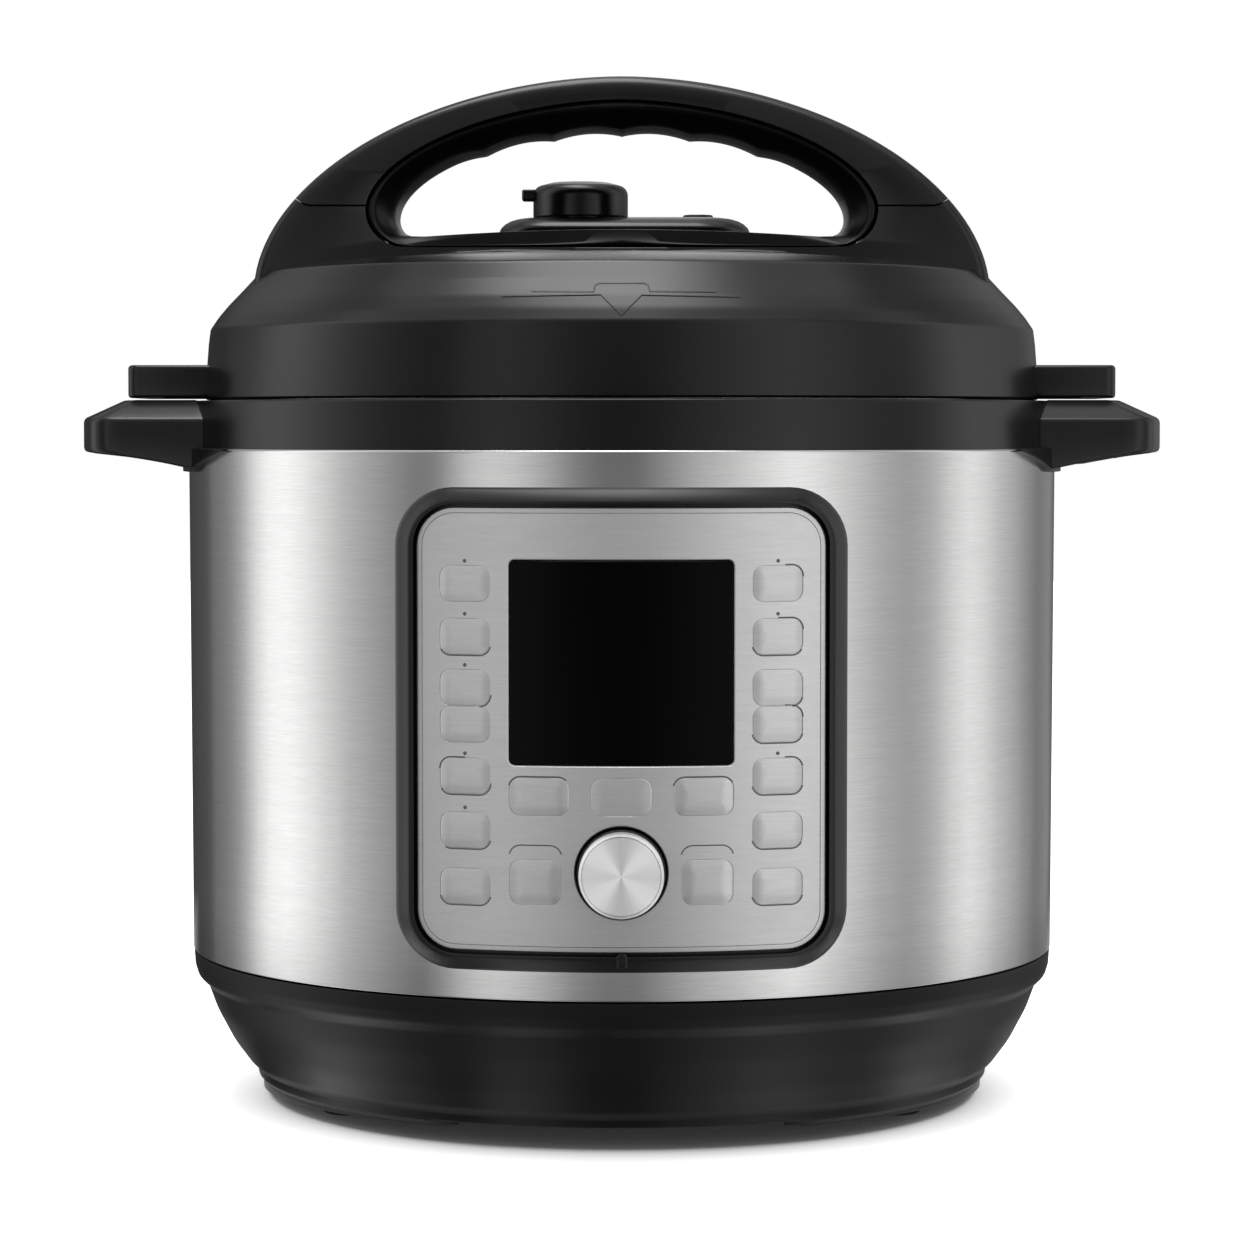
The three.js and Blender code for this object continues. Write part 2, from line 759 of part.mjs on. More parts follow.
piece('inner_pot', turned([
  [0, potBottomZ],
  ...potFloorCorner(potRadius, potBottomZ, potCorner, 3),
  [potRadius, potTopZ - potRim],
  [potFlangeRadius, potTopZ - potRim],
  [potFlangeRadius, potTopZ - 0.6],
  [potFlangeRadius - 0.8, potTopZ],
  [potRadius - potWall, potTopZ],
  ...potFloorCorner(potRadius - potWall, potBottomZ + potWall, potCorner - potWall, 3).reverse(),
  [0, potBottomZ + potWall],
]), 'steel');

// ---- Lid: liner, sealing ring and its rack ----

function makeLiner() {
  const inner = linerSkirtRadius - linerWall;
  const sheet = turned([
    [0, linerUnderZ],
    [inner - linerShoulder, linerUnderZ],
    [inner, linerUnderZ - linerShoulder],
    [inner, lidLugZ],
    [linerSkirtRadius, lidLugZ],
    [linerSkirtRadius, linerTopZ - linerShoulder],
    [linerSkirtRadius - linerShoulder, linerTopZ],
    [0, linerTopZ],
  ]);
  const lugBand = ring(linerSkirtRadius - 0.5, lidLugRadius, lidLugZ, lidLugZ + lugThickness);
  const lugs = lugBand.intersect(lugSectors(90 + 180 / lugCount, lidLugRadius * 2, lidLugZ - 1, ringLugZ));
  const holes = [
    rod(boltRadius + clearance, linerUnderZ - 1, linerTopZ + 1, 12),
    rod(pipeRadius + clearance, linerUnderZ - 1, linerTopZ + 1, 16).translate([valveX, platformY, 0]),
    rod(floatRodRadius + clearance, linerUnderZ - 1, linerTopZ + 1, 12).translate([floatX, platformY, 0]),
  ];
  return cut(sheet.add(lugs), ...holes);
}

piece('lid_liner', makeLiner(), 'steel');

const sealOuter = linerSkirtRadius - linerWall - slideFit;
const sealInner = sealOuter - sealWidth;
const sealLowZ = potTopZ + clearance;
const sealTopZ = sealLowZ + sealHeight;
piece('sealing_ring', turned([
  [sealInner, sealLowZ],
  [sealOuter, sealLowZ],
  [sealOuter, sealTopZ],
  [sealInner, sealTopZ],
  [sealInner, sealTopZ - 3],
  [sealOuter - 3.5, sealTopZ - 3],
  [sealOuter - 3.5, sealLowZ + 3],
  [sealInner, sealLowZ + 3],
]), 'silicone');

piece('ring_rack', ring(
  sealInner - slideFit - rackWall, sealInner - slideFit,
  sealLowZ + 4, linerUnderZ - clearance,
), 'steel');

// ---- Lid cover: a domed plastic shell with two fins and the valve platform ----

// The cover's outer side from its lower edge to the middle, grown outwards by a margin.
function coverOutline(margin) {
  return [
    [lidRadius + margin, lidSeatZ],
    [creaseRadius + margin, creaseZ - 1.5],
    [creaseRadius - 1.4 + margin, creaseZ + margin / 2],
    [(creaseRadius + crestRadius) / 2 + margin * 0.7, (creaseZ + crestZ) / 2 + 0.6 + margin * 0.7],
    [crestRadius + margin / 2, crestZ - 1.2 + margin],
    [crestRadius - 4, crestZ + 0.8 + margin],
    [crestRadius * 0.78, crestZ + crownRise * 0.55 + margin],
    [crestRadius * 0.4, crestZ + crownRise * 0.87 + margin],
    [0, lidTopZ + margin],
  ];
}

const finInner = lidRadius - lidWall - 1;
const finLowZ = lidSeatZ + finLift;

function makePlatform() {
  const height = platformTopZ - platformFootZ;
  const outline = roundedRectangle(platformWidth, platformDepth, platformCorner, 4);
  const block = new THREE.ExtrudeGeometry(shapeOf(outline), {
    depth: height - platformBevel,
    bevelThickness: platformBevel,
    bevelSize: platformBevel,
    bevelOffset: -platformBevel,
    bevelSegments: 2,
  });
  return cut(
    solid(block.translate(0, platformY, platformFootZ)),
    box(-platformWidth, platformWidth, 0, 2 * platformY, platformFootZ - 2 * platformBevel, platformFootZ),
  );
}

function makeLidCover() {
  const inside = coverOutline(-lidWall).filter((point, n) => n !== 1 && n !== 4);
  inside[0] = [lidRadius - lidWall, lidSeatZ];
  let shell = turned([...coverOutline(0), ...inside.reverse()]);
  const fins = cut(
    box(-finReach, finReach, -finWidth / 2, finWidth / 2, finLowZ, finLowZ + finThickness),
    rod(finInner, finLowZ - 1, finLowZ + finThickness + 1, roundSides),
  );
  const boss = rod(bossRadius, linerTopZ + clearance, lidTopZ - lidWall / 2);
  shell = join(shell, fins, boss, makePlatform());
  const pipeHole = rod(pipeRadius + clearance, linerTopZ, platformTopZ + 1, 16);
  const floatHole = rod(floatRodRadius + clearance, linerTopZ, platformTopZ + 1, 12);
  const seatZ = platformTopZ - floatHead + floatProud - clearance;
  const floatSeat = rod(floatRadius + slideFit, seatZ, platformTopZ + 1, 16);
  return cut(
    shell,
    pipeHole.translate([valveX, platformY, 0]),
    floatHole.translate([floatX, platformY, 0]),
    floatSeat.translate([floatX, platformY, 0]),
    rod(boltRadius + clearance, linerTopZ, linerTopZ + boltEngage + 1, 12),
  );
}

piece('lid_cover', makeLidCover(), 'blackPlastic');

// Bolt through the liner into the cover's middle boss.
const boltHeadTopZ = linerUnderZ - clearance;
piece('lid_bolt', turned([
  [0, boltHeadTopZ - boltHeadHeight],
  [boltHeadRadius - 1, boltHeadTopZ - boltHeadHeight],
  [boltHeadRadius, boltHeadTopZ - boltHeadHeight + 1],
  [boltHeadRadius, boltHeadTopZ],
  [boltRadius, boltHeadTopZ],
  [boltRadius, linerTopZ + boltEngage],
  [0, linerTopZ + boltEngage],
], 12), 'steel');

// ---- Lid handle: a base with two shoulders, a cap over the crown and a grip ring inside ----

// An arch over a level, from its right end to its left end, in X and Z.
function archCurve(halfWidth, level, rise, power, steps) {
  const points = [];
  for (let step = 0; step <= steps; step += 1) {
    const angle = (step / steps) * Math.PI;
    const across = Math.abs(Math.cos(angle)) ** (2 / power);
    const up = Math.abs(Math.sin(angle)) ** (2 / power);
    points.push([halfWidth * Math.sign(Math.cos(angle)) * across, level + rise * up]);
  }
  return points;
}

const archOutline = [
  ...archCurve(archHalfWidth, archLevelZ, archRise, archPower, 32),
  [-archHalfWidth, archLevelZ - 12],
  [archHalfWidth, archLevelZ - 12],
];

// A closed ring outline: an arch above, round lower corners and a sill that may be crowned.
function loopOutline({ halfWidth, level, rise, power, sill, crown, corner, waves }) {
  const upper = archCurve(halfWidth, level, rise, power, 36).map(([x, z]) => {
    const inWaves = Math.abs(x) < 2.25 * fingerPitch && z > level;
    const wave = 1 - Math.abs(Math.sin(Math.PI * x / fingerPitch));
    return [x, inWaves ? z - waves * wave : z];
  });
  const lower = [];
  for (const side of [-1, 1]) {
    const turn = [];
    for (const angle of [30, 60, 90]) {
      turn.push([
        side * (halfWidth - corner + corner * Math.cos(angle * radians)),
        sill + (level - sill) * (1 - Math.sin(angle * radians)),
      ]);
    }
    lower.push(...(side < 0 ? turn : turn.reverse()));
  }
  const sillPoints = [];
  for (let step = 1; step < 8; step += 1) {
    const x = (halfWidth - corner) * (step / 4 - 1);
    sillPoints.push([x, sill + crown * (1 - (x / (halfWidth - corner)) ** 2)]);
  }
  return [...upper, ...lower.slice(0, 3), ...sillPoints, ...lower.slice(3)];
}

// The handle's depth shrinks from the crest's level to the crown.
function depthWedge(inset) {
  const low = archLevelZ - 14;
  const high = archLevelZ + archRise + 2;
  const slope = (archFootDepth - archTopDepth) / 2 / (archRise - archFootDrop);
  const halfDepth = (z) => archFootDepth / 2 - inset - slope * (z - crestZ);
  const outline = [
    [-halfDepth(low), low],
    [halfDepth(low), low],
    [halfDepth(high), high],
    [-halfDepth(high), high],
  ];
  return acrossX(outline, -archHalfWidth - 2, archHalfWidth + 2);
}

function ringLoop(margin) {
  return loopOutline({
    halfWidth: gripHalfWidth + margin,
    level: crestZ + gripLevel,
    rise: gripRise + margin,
    power: gripPower,
    sill: crestZ + gripSole - margin,
    crown: 0,
    corner: 12,
    waves: 0,
  });
}

function eyeLoop(flare) {
  return loopOutline({
    halfWidth: eyeHalfWidth + flare,
    level: crestZ + eyeLevel,
    rise: eyeRise + flare * 0.9,
    power: eyePower,
    sill: crestZ + eyeSill - flare * 0.1,
    crown: eyeCrown,
    corner: eyeCorner,
    waves: flare > 0 ? 0 : fingerDepth,
  });
}

const archReach = archFootDepth / 2 + 6;
const coverEnvelope = turned([
  [0, lidSeatZ - 5],
  [lidRadius + clearance, lidSeatZ - 5],
  ...coverOutline(clearance),
]);
const archBody = cut(
  acrossY(archOutline, -archReach, archReach).intersect(depthWedge(0)),
  acrossY(ringLoop(clearance), -archReach, archReach),
  coverEnvelope,
);
const wide = 2 * archHalfWidth;
piece('handle_base', archBody.intersect(
  box(-wide, wide, -wide, wide, lidSeatZ, partingZ - clearance / 2),
), 'blackPlastic');
piece('handle_cap', archBody.intersect(
  box(-wide, wide, -wide, wide, partingZ + clearance / 2, lidTopZ + wide),
), 'blackPlastic');

const eyeSections = [[-archReach, eyeFlare], [-eyeThroat, 0], [eyeThroat, 0], [archReach, eyeFlare]];
const eyeCutter = lofted(eyeSections.map(([y, flare]) => eyeLoop(flare).map(([x, z]) => [x, y, z])));
piece('handle_grip', cut(
  acrossY(ringLoop(0), -archReach, archReach).intersect(depthWedge(gripInset)),
  eyeCutter,
), 'darkPlastic');

// ---- Steam release, float valve and the shield over the steam inlet ----

const pipeTopZ = platformTopZ + pipeRise;
const nutLowZ = linerTopZ + clearance;
piece('valve_pipe', turned([
  [pipeBore, linerUnderZ - pipeTail],
  [pipeRadius, linerUnderZ - pipeTail],
  [pipeRadius, nutLowZ],
  [pipeNutRadius, nutLowZ],
  [pipeNutRadius, nutLowZ + pipeNutHeight],
  [pipeRadius, nutLowZ + pipeNutHeight],
  [pipeRadius, pipeTopZ],
  [pipeBore, pipeTopZ],
], 16), 'steel').position.set(valveX, platformY, 0);

function makeSteamValve() {
  const low = platformTopZ + valveLift;
  const high = low + valveHeight;
  const boreRadius = pipeRadius + clearance;
  const knob = turned([
    [0, pipeTopZ + clearance],
    [boreRadius, pipeTopZ + clearance],
    [boreRadius, low],
    [valveRadius, low],
    [valveRadius, high - 4],
    [valveRadius - 1.2, high - 1.6],
    [valveRadius - 4.5, high - 0.3],
    [0, high],
  ], 24);
  const tab = box(
    -valveRadius - tabReach, -valveRadius + 2,
    -tabWidth / 2, tabWidth / 2,
    high - 2.4 - tabHeight, high - 2.4,
  );
  return knob.add(tab);
}

piece('steam_valve', makeSteamValve(), 'blackPlastic').position.set(valveX, platformY, 0);

const floatTopZ = platformTopZ + floatProud;
const floatLowZ = linerUnderZ - floatTail;
piece('float_pin', turned([
  [0, floatLowZ],
  [floatRodRadius, floatLowZ],
  [floatRodRadius, floatTopZ - floatHead],
  [floatRadius, floatTopZ - floatHead],
  [floatRadius, floatTopZ - 0.6],
  [floatRadius - 0.7, floatTopZ],
  [0, floatTopZ],
], 16), 'darkPlastic').position.set(floatX, platformY, 0);

const floatSealTopZ = linerUnderZ - floatTravel - clearance;
piece('float_seal', ring(
  floatRodRadius + clearance, floatSealRadius,
  floatSealTopZ - floatSealHeight, floatSealTopZ, 16,
), 'silicone').position.set(floatX, platformY, 0);

function makeShield() {
  const top = linerUnderZ - clearance;
  const low = top - shieldHeight;
  const cup = turned([
    [0, low],
    [shieldRadius - 2, low],
    [shieldRadius, low + 2],
    [shieldRadius, top],
    [shieldRadius - shieldWall, top],
    [shieldRadius - shieldWall, low + 2.4],
    [shieldRadius - 2.4, low + shieldWall],
    [0, low + shieldWall],
  ], 16);
  const half = shieldWindow / 2;
  const reach = shieldRadius + 1;
  return cut(
    cup,
    box(-reach, reach, -half, half, low + 4, low + 4 + shieldWindow),
    box(-half, half, -reach, reach, low + 4, low + 4 + shieldWindow),
  );
}

piece('anti_block_shield', makeShield(), 'steel').position.set(valveX, platformY, 0);

// ---- Body handles, left and right ----

const handleTopZ = collarTopZ - handleTopDrop;
const handleReach = drumTopRadius + handleLength;
const slotNear = drumTopRadius + slotInset;

// The handle seen from above, drawn in by an inset, at one level.
function handlePlan(inset, level) {
  const root = collarRadius / 2;
  const radius = Math.max(handleCorner - inset, 1);
  const halfWidth = handleHalfWidth - inset;
  const corner = handleReach - handleBulge - inset - radius;
  const plan = [[root, -halfWidth]];
  for (const side of [-1, 1]) {
    const turn = [0, 30, 60, 90].map((angle) => [
      corner + radius * Math.sin(angle * radians),
      side * (halfWidth - radius + radius * Math.cos(angle * radians)),
    ]);
    if (side < 0) plan.push(...turn, [handleReach - inset, 0]);
    else plan.push(...turn.reverse());
  }
  plan.push([root, halfWidth]);
  return plan.map(([x, y]) => [x, y, level]);
}

function makeHandle() {
  const root = collarRadius / 2;
  const lowZ = drumTopZ - handleRootDrop;
  const block = lofted([
    handlePlan(0, lowZ - 1),
    handlePlan(0, handleTopZ - handleChamferRise),
    handlePlan(handleChamferRun, handleTopZ),
  ]);
  const endZ = drumTopZ - handleEndDrop;
  const underside = [];
  for (let step = 0; step <= 5; step += 1) {
    const along = step / 5;
    underside.push([
      drumTopRadius - 8 + along * (handleReach + 2 - drumTopRadius + 8),
      lowZ + (endZ - lowZ) * (1 - (1 - along) ** 1.8),
    ]);
  }
  const profile = [
    [root - 1, lowZ],
    ...underside,
    [handleReach + 2, handleTopZ + 5],
    [root - 1, handleTopZ + 5],
  ];
  const side = acrossY(profile, -handleHalfWidth - 1, handleHalfWidth + 1);
  const pad = ring(
    drumTopRadius + clearance, drumTopRadius + clearance + padThickness,
    lowZ, drumTopZ - clearance,
  ).intersect(sector(-padHalfAngle, padHalfAngle, 2 * handleReach, lowZ - 1, drumTopZ));
  const slot = box(
    slotNear, slotNear + finThickness + slotGap,
    -finWidth / 2 - slotGap / 2, finWidth / 2 + slotGap / 2,
    lowZ - 25, handleTopZ + 1,
  );
  return cut(
    block.intersect(side).add(pad),
    rod(drumTopRadius + clearance, lowZ - 25, drumTopZ + clearance, roundSides),
    rod(collarRadius + clearance, lowZ - 25, handleTopZ + 1, roundSides),
    slot,
  );
}

const handleBody = makeHandle();
piece('right_handle', handleBody, 'blackPlastic');
piece('left_handle', handleBody.rotate([0, 0, 180]), 'blackPlastic');

// ---- Control panel: everything follows the drum's curve ----

function curved(prism, inner, outer) {
  return prism.intersect(ring(inner, outer, drumBottomZ, drumTopZ));
}

function plainPrism(widthMargin, corner, near, far) {
  return panelPrism(plateWidth + widthMargin, plateHeight + widthMargin, corner, near, far);
}

function makePanelFrame() {
  const near = drumTopRadius / 2;
  const far = bezelFace + 2;
  const floorMargin = 2 * (bezelWidth - bezelLip);
  const rim = cut(
    plainPrism(2 * bezelWidth, plateCorner + bezelWidth, near, far),
    plainPrism(floorMargin, plateCorner + bezelWidth - bezelLip, near, far),
  );
  const flange = cut(
    plainPrism(floorMargin + 0.4, plateCorner + bezelWidth - bezelLip, near, far),
    plainPrism(-2 * bezelSeat, plateCorner - bezelSeat, near, far),
  );
  return join(
    curved(rim, drumTopRadius + clearance, bezelFace),
    curved(flange, flangeFace - bezelDepth, flangeFace),
  );
}

piece('panel_frame', makePanelFrame(), 'darkPlastic');

// Each key: its name, distance from the panel's middle, height on the panel, and size.
function keyList() {
  const keys = [];
  for (const [side, sign] of [['left', -1], ['right', 1]]) {
    sideKeyRows.forEach((row, n) => {
      keys.push({ name: `key_${side}_${n + 1}`, x: sign * sideKeyX, row, size: sideKeySize });
    });
    keys.push({ name: `key_start_${side}`, x: sign * largeKeyX, row: largeKeyRow, size: largeKeySize });
  }
  middleKeyXs.forEach((x, n) => {
    keys.push({ name: `key_middle_${n + 1}`, x, row: middleKeyRow, size: middleKeySize });
  });
  return keys;
}

// A prism along the drum's own normal at a key, between two distances from the axis.
function keyPrism(key, margin, near, far, steps = 2) {
  const turn = Math.asin(key.x / plateFace) / radians;
  const [width, height] = key.size;
  const outline = roundedRectangle(width + 2 * margin, height + 2 * margin, keyCorner + margin, steps);
  const prism = acrossY(outline.map(([x, z]) => [x, z + panelCentre + key.row]), -far, -near);
  return prism.rotate([0, 0, turn]);
}

function makeFaceplate() {
  const near = drumTopRadius / 2;
  const far = plateFace + 2;
  const windowHole = acrossY(
    roundedRectangle(windowWidth + 2 * clearance, windowHeight + 2 * clearance, windowCorner, 2)
      .map(([x, z]) => [x, z + windowCentreZ]),
    -far, -near,
  );
  const dialHole = rod(dialRadius + dialGap, near, far, 32).rotate([90, 0, 0]).translate([0, 0, dialCentreZ]);
  const sheet = cut(
    plainPrism(0, plateCorner, near, far),
    windowHole,
    dialHole,
    ...keyList().map((key) => keyPrism(key, clearance, near, far)),
  );
  return curved(sheet, plateInner, plateFace);
}

piece('faceplate', makeFaceplate(), 'plate');

piece('display_window', curved(acrossY(
  roundedRectangle(windowWidth, windowHeight, windowCorner, 2).map(([x, z]) => [x, z + windowCentreZ]),
  -plateFace - 2, -drumTopRadius / 2,
), plateInner, plateFace), 'glass');

const windowBackY = plateInner * Math.cos(Math.PI / roundSides);
const moduleReach = Math.sqrt(windowBackY ** 2 - (moduleWidth / 2) ** 2) - clearance;
piece('display_module', box(
  -moduleWidth / 2, moduleWidth / 2,
  -moduleReach, -boardFace - clearance,
  windowCentreZ - moduleHeight / 2, windowCentreZ + moduleHeight / 2,
), 'darkPlastic');

piece('control_board', box(
  -boardWidth / 2, boardWidth / 2,
  -boardFace, -boardDistance,
  panelCentre - boardHeight / 2, panelCentre + boardHeight / 2,
), 'board');

for (const key of keyList()) {
  const turn = Math.asin(key.x / plateFace);
  const backRadius = plateInner - clearance;
  const cap = curved(keyPrism(key, 0, boardFace, bezelFace), backRadius - 0.2, plateFace + keyProud);
  const [halfWidth, halfHeight] = key.size.map((side) => side / 2 + clearance + keyFlange);
  const ledgePrism = box(
    -halfWidth, halfWidth, -bezelFace, -boardFace,
    panelCentre + key.row - halfHeight, panelCentre + key.row + halfHeight,
  ).rotate([0, 0, turn / radians]);
  const ledge = curved(ledgePrism, backRadius - keyFlangeThickness, backRadius);
  const stemTilt = keyStem / 2 * Math.sin(Math.abs(turn));
  const stemEnd = (boardFace + clearance + keyTravel + stemTilt) / Math.cos(turn);
  const stem = box(
    -keyStem / 2, keyStem / 2,
    -backRadius + keyFlangeThickness / 2, -stemEnd,
    panelCentre + key.row - keyStem / 2, panelCentre + key.row + keyStem / 2,
  ).rotate([0, 0, turn / radians]);
  piece(key.name, join(cap, ledge, stem), 'plate');
}

// ---- Dial on its encoder ----

// Turned pieces on the dial's own axis: heights are distances in front of the drum's axis.
function alongDial(body) {
  return body.rotate([90, 0, 0]).translate([0, 0, dialCentreZ]);
}

const shaftInnerEnd = boardFace + clearance + 2;
const shaftOuterEnd = dialFace - 3;
piece('encoder_body', alongDial(cut(
  join(
    upwards(roundedRectangle(encoderSize, encoderSize, 1, 1), boardFace + clearance, encoderFace),
    rod(bushingRadius, encoderFace - 1, encoderFace + bushingLength, 16),
  ),
  rod(shaftRadius + clearance, shaftInnerEnd - dialTravel - clearance, encoderFace + bushingLength + 1, 16),
)), 'steel');

piece('encoder_shaft', alongDial(rod(shaftRadius, shaftInnerEnd, shaftOuterEnd, 16)), 'steel');

piece('dial', alongDial(turned([
  [0, shaftOuterEnd + clearance],
  [shaftRadius + clearance, shaftOuterEnd + clearance],
  [shaftRadius + clearance, plateFace - dialTail + 2],
  [shaftRadius + 2.3, plateFace - dialTail + 2],
  [shaftRadius + 2.3, dialFace - 2.5],
  [dialRadius - dialWall, dialFace - 2.5],
  [dialRadius - dialWall, plateFace - dialTail],
  [dialRadius, plateFace - dialTail],
  [dialRadius, dialFace - dialChamfer],
  [dialRadius - dialChamfer, dialFace],
  [0, dialFace],
], 32)), 'aluminium');

// ---- Power inlet: a socket for a mains lead in the drum's rear ----

function boxAt([width, height], near, far, centreZ) {
  return box(-width / 2, width / 2, near, far, centreZ - height / 2, centreZ + height / 2);
}

function makeInlet() {
  const flangeBack = drumTopRadius + clearance;
  const body = join(
    boxAt(inletFlange, flangeBack, inletFace, inletHeight),
    boxAt(inletBody, inletFace - inletDepth, flangeBack + 0.5, inletHeight),
  );
  const socketFloor = inletFace - socketDepth;
  let inlet = body.subtract(boxAt(socketSize, socketFloor, inletFace + 1, inletHeight));
  const [thickness, length, width] = pinSize;
  for (const [x, z] of [[-pinPitch, -2], [0, 3], [pinPitch, -2]]) {
    const pin = boxAt([thickness, width], socketFloor - 1, socketFloor + length, inletHeight + z);
    inlet = inlet.add(pin.translate([x, 0, 0]));
  }
  return inlet;
}

piece('power_inlet', makeInlet(), 'darkPlastic');

// ---- Condensation cup, hung by its flange on the two arms of a rail ----

const cupTopZ = drumTopZ - cupDrop;
const railRadius = drumTopRadius + clearance + railPlate;
const cupInnerY = railRadius + clearance;
const cupOuterY = cupInnerY + cupDepth;
const armInner = cupWidth / 2 + 1;
const armTopZ = cupTopZ - cupFlangeThickness - clearance;

function makeCupRail() {
  const half = armInner + railArm;
  const plate = ring(drumTopRadius + clearance, railRadius, armTopZ - railArmHeight - 4, cupTopZ)
    .intersect(box(-half, half, 0, 2 * drumTopRadius, 0, drumTopZ));
  const arms = [-1, 1].map((side) => {
    const near = side * armInner;
    const far = side * (armInner + railArm);
    return box(
      Math.min(near, far), Math.max(near, far),
      drumTopRadius - 4, cupOuterY - 2,
      armTopZ - railArmHeight, armTopZ,
    ).subtract(rod(drumTopRadius + clearance, 0, drumTopZ, roundSides));
  });
  return join(plate, ...arms);
}

piece('cup_rail', makeCupRail(), 'blackPlastic');

function makeCup() {
  const half = cupWidth / 2;
  const low = cupTopZ - cupHeight;
  const outer = box(-half, half, cupInnerY, cupOuterY, low, cupTopZ);
  const flange = box(
    -half - cupFlange, half + cupFlange,
    cupInnerY, cupOuterY,
    cupTopZ - cupFlangeThickness, cupTopZ,
  );
  const hollow = box(
    -half + cupWall, half - cupWall,
    cupInnerY + cupWall, cupOuterY - cupWall,
    low + cupWall, cupTopZ + 1,
  );
  return outer.add(flange).subtract(hollow);
}

piece('condensation_cup', makeCup(), 'paleCup');

export default cooker;
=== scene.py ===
# An electric pressure cooker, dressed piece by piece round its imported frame.
import math

import bmesh
import bpy
from mathutils import Matrix, Vector
from mathutils.geometry import tessellate_polygon


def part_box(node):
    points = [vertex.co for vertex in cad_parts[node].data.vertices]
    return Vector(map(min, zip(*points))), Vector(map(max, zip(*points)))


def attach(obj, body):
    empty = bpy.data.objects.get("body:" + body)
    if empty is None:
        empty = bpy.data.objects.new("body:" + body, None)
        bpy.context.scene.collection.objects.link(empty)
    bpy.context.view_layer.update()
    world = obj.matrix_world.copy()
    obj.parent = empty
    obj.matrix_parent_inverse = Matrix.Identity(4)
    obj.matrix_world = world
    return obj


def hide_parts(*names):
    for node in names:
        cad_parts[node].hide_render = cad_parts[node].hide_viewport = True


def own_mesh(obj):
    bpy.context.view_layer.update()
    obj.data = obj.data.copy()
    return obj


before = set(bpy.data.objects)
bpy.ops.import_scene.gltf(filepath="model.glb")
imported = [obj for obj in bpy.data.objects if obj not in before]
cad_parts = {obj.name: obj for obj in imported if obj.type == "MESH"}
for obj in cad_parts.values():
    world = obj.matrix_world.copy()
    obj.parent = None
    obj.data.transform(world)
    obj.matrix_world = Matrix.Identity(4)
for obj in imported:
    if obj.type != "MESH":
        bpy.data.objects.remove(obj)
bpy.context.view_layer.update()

# ---- Table, camera and lamps ----------------------------------------------------------------
# A white table in a white room, seen through a long lens from the height of the drum's rim.
# Soft lamps stand at both sides and overhead. Only reflections see the lamp over the crown and
# the ring of grey curtains.


def stand(name, data):
    """Puts an object with the given data into the scene."""
    made = bpy.data.objects.new(name, data)
    bpy.context.collection.objects.link(made)
    return made


camera = stand("camera", bpy.data.cameras.new("camera"))
camera.location = (0.0016, -1.228, 0.2109)
camera.rotation_euler = (math.pi / 2 - 0.0522, 0, 0)
camera.data.lens = 111.4
camera.data.sensor_width = 36
bpy.context.scene.camera = camera
bpy.context.scene.view_settings.view_transform = "Standard"


class Nodes:
    """Adds nodes to a material, world or group, and links whatever sockets they are given."""

    def __init__(self, owner):
        self.tree = getattr(owner, "node_tree", owner)

    def put(self, source, socket):
        if isinstance(source, bpy.types.NodeSocket):
            self.tree.links.new(source, socket)
        else:
            socket.default_value = source

    def add(self, kind, *sources, **named):
        made = self.tree.nodes.new(kind)
        for name, value in named.items():
            if hasattr(made, name):
                setattr(made, name, value)
        for socket, source in zip(made.inputs, sources):
            self.put(source, socket)
        for name, value in named.items():
            if not hasattr(made, name):
                self.put(value, made.inputs[name.replace("_", " ")])
        return made

    def math(self, operation, *sources):
        return self.add("ShaderNodeMath", *sources, operation=operation).outputs[0]

    def between(self, value, low, high, to_low, to_high):
        return self.add("ShaderNodeMapRange", value, low, high, to_low, to_high).outputs[0]

    def noise(self, scale, detail, place=None, **named):
        """A noise in the object's own space, or over another place."""
        if place is None:
            place = self.add("ShaderNodeTexCoord").outputs["Object"]
        return self.add("ShaderNodeTexNoise", Vector=place, Scale=scale, Detail=detail, **named).outputs[0]

    def two_tones(self, share, first, second):
        """A colour that goes from the first tone to the second."""
        tint = self.add("ShaderNodeMix", data_type="RGBA")
        self.put(share, tint.inputs["Factor"])
        tint.inputs["A"].default_value = (*first, 1)
        tint.inputs["B"].default_value = (*second, 1)
        return tint.outputs["Result"]

    def bump(self, height, strength, distance):
        made = self.add("ShaderNodeBump", Strength=strength, Distance=distance, Height=height)
        return made.outputs["Normal"]

    def looked_at(self):
        """One for camera, mirror and glass rays, and zero for the light that falls on things."""
        path = self.add("ShaderNodeLightPath").outputs
        either = self.math("MAXIMUM", path["Is Camera Ray"], path["Is Glossy Ray"])
        return self.math("MAXIMUM", either, path["Is Transmission Ray"])


world = bpy.data.worlds.new("white_room")
world.use_nodes = True
bpy.context.scene.world = world
room = Nodes(world)
sky = world.node_tree.nodes["Background"].inputs
room.put(room.between(room.looked_at(), 0.0, 1.0, 0.6, 1.0), sky["Strength"])
sky["Color"].default_value = (1, 1, 1, 1)

LAMPS_AIM = Vector((0, 0, 0.17))


def lamp(name, place, width, height, power, mirrored=False, lighting=True):
    """A soft lamp. Shiny things may mirror it, and it may be there for the mirroring alone."""
    made = stand(name, bpy.data.lights.new(name, "AREA"))
    made.data.shape = "RECTANGLE"
    made.data.size = width
    made.data.size_y = height
    made.data.energy = power
    made.location = place
    made.rotation_euler = (LAMPS_AIM - Vector(place)).to_track_quat("-Z", "Y").to_euler()
    made.visible_glossy = mirrored
    made.visible_diffuse = lighting


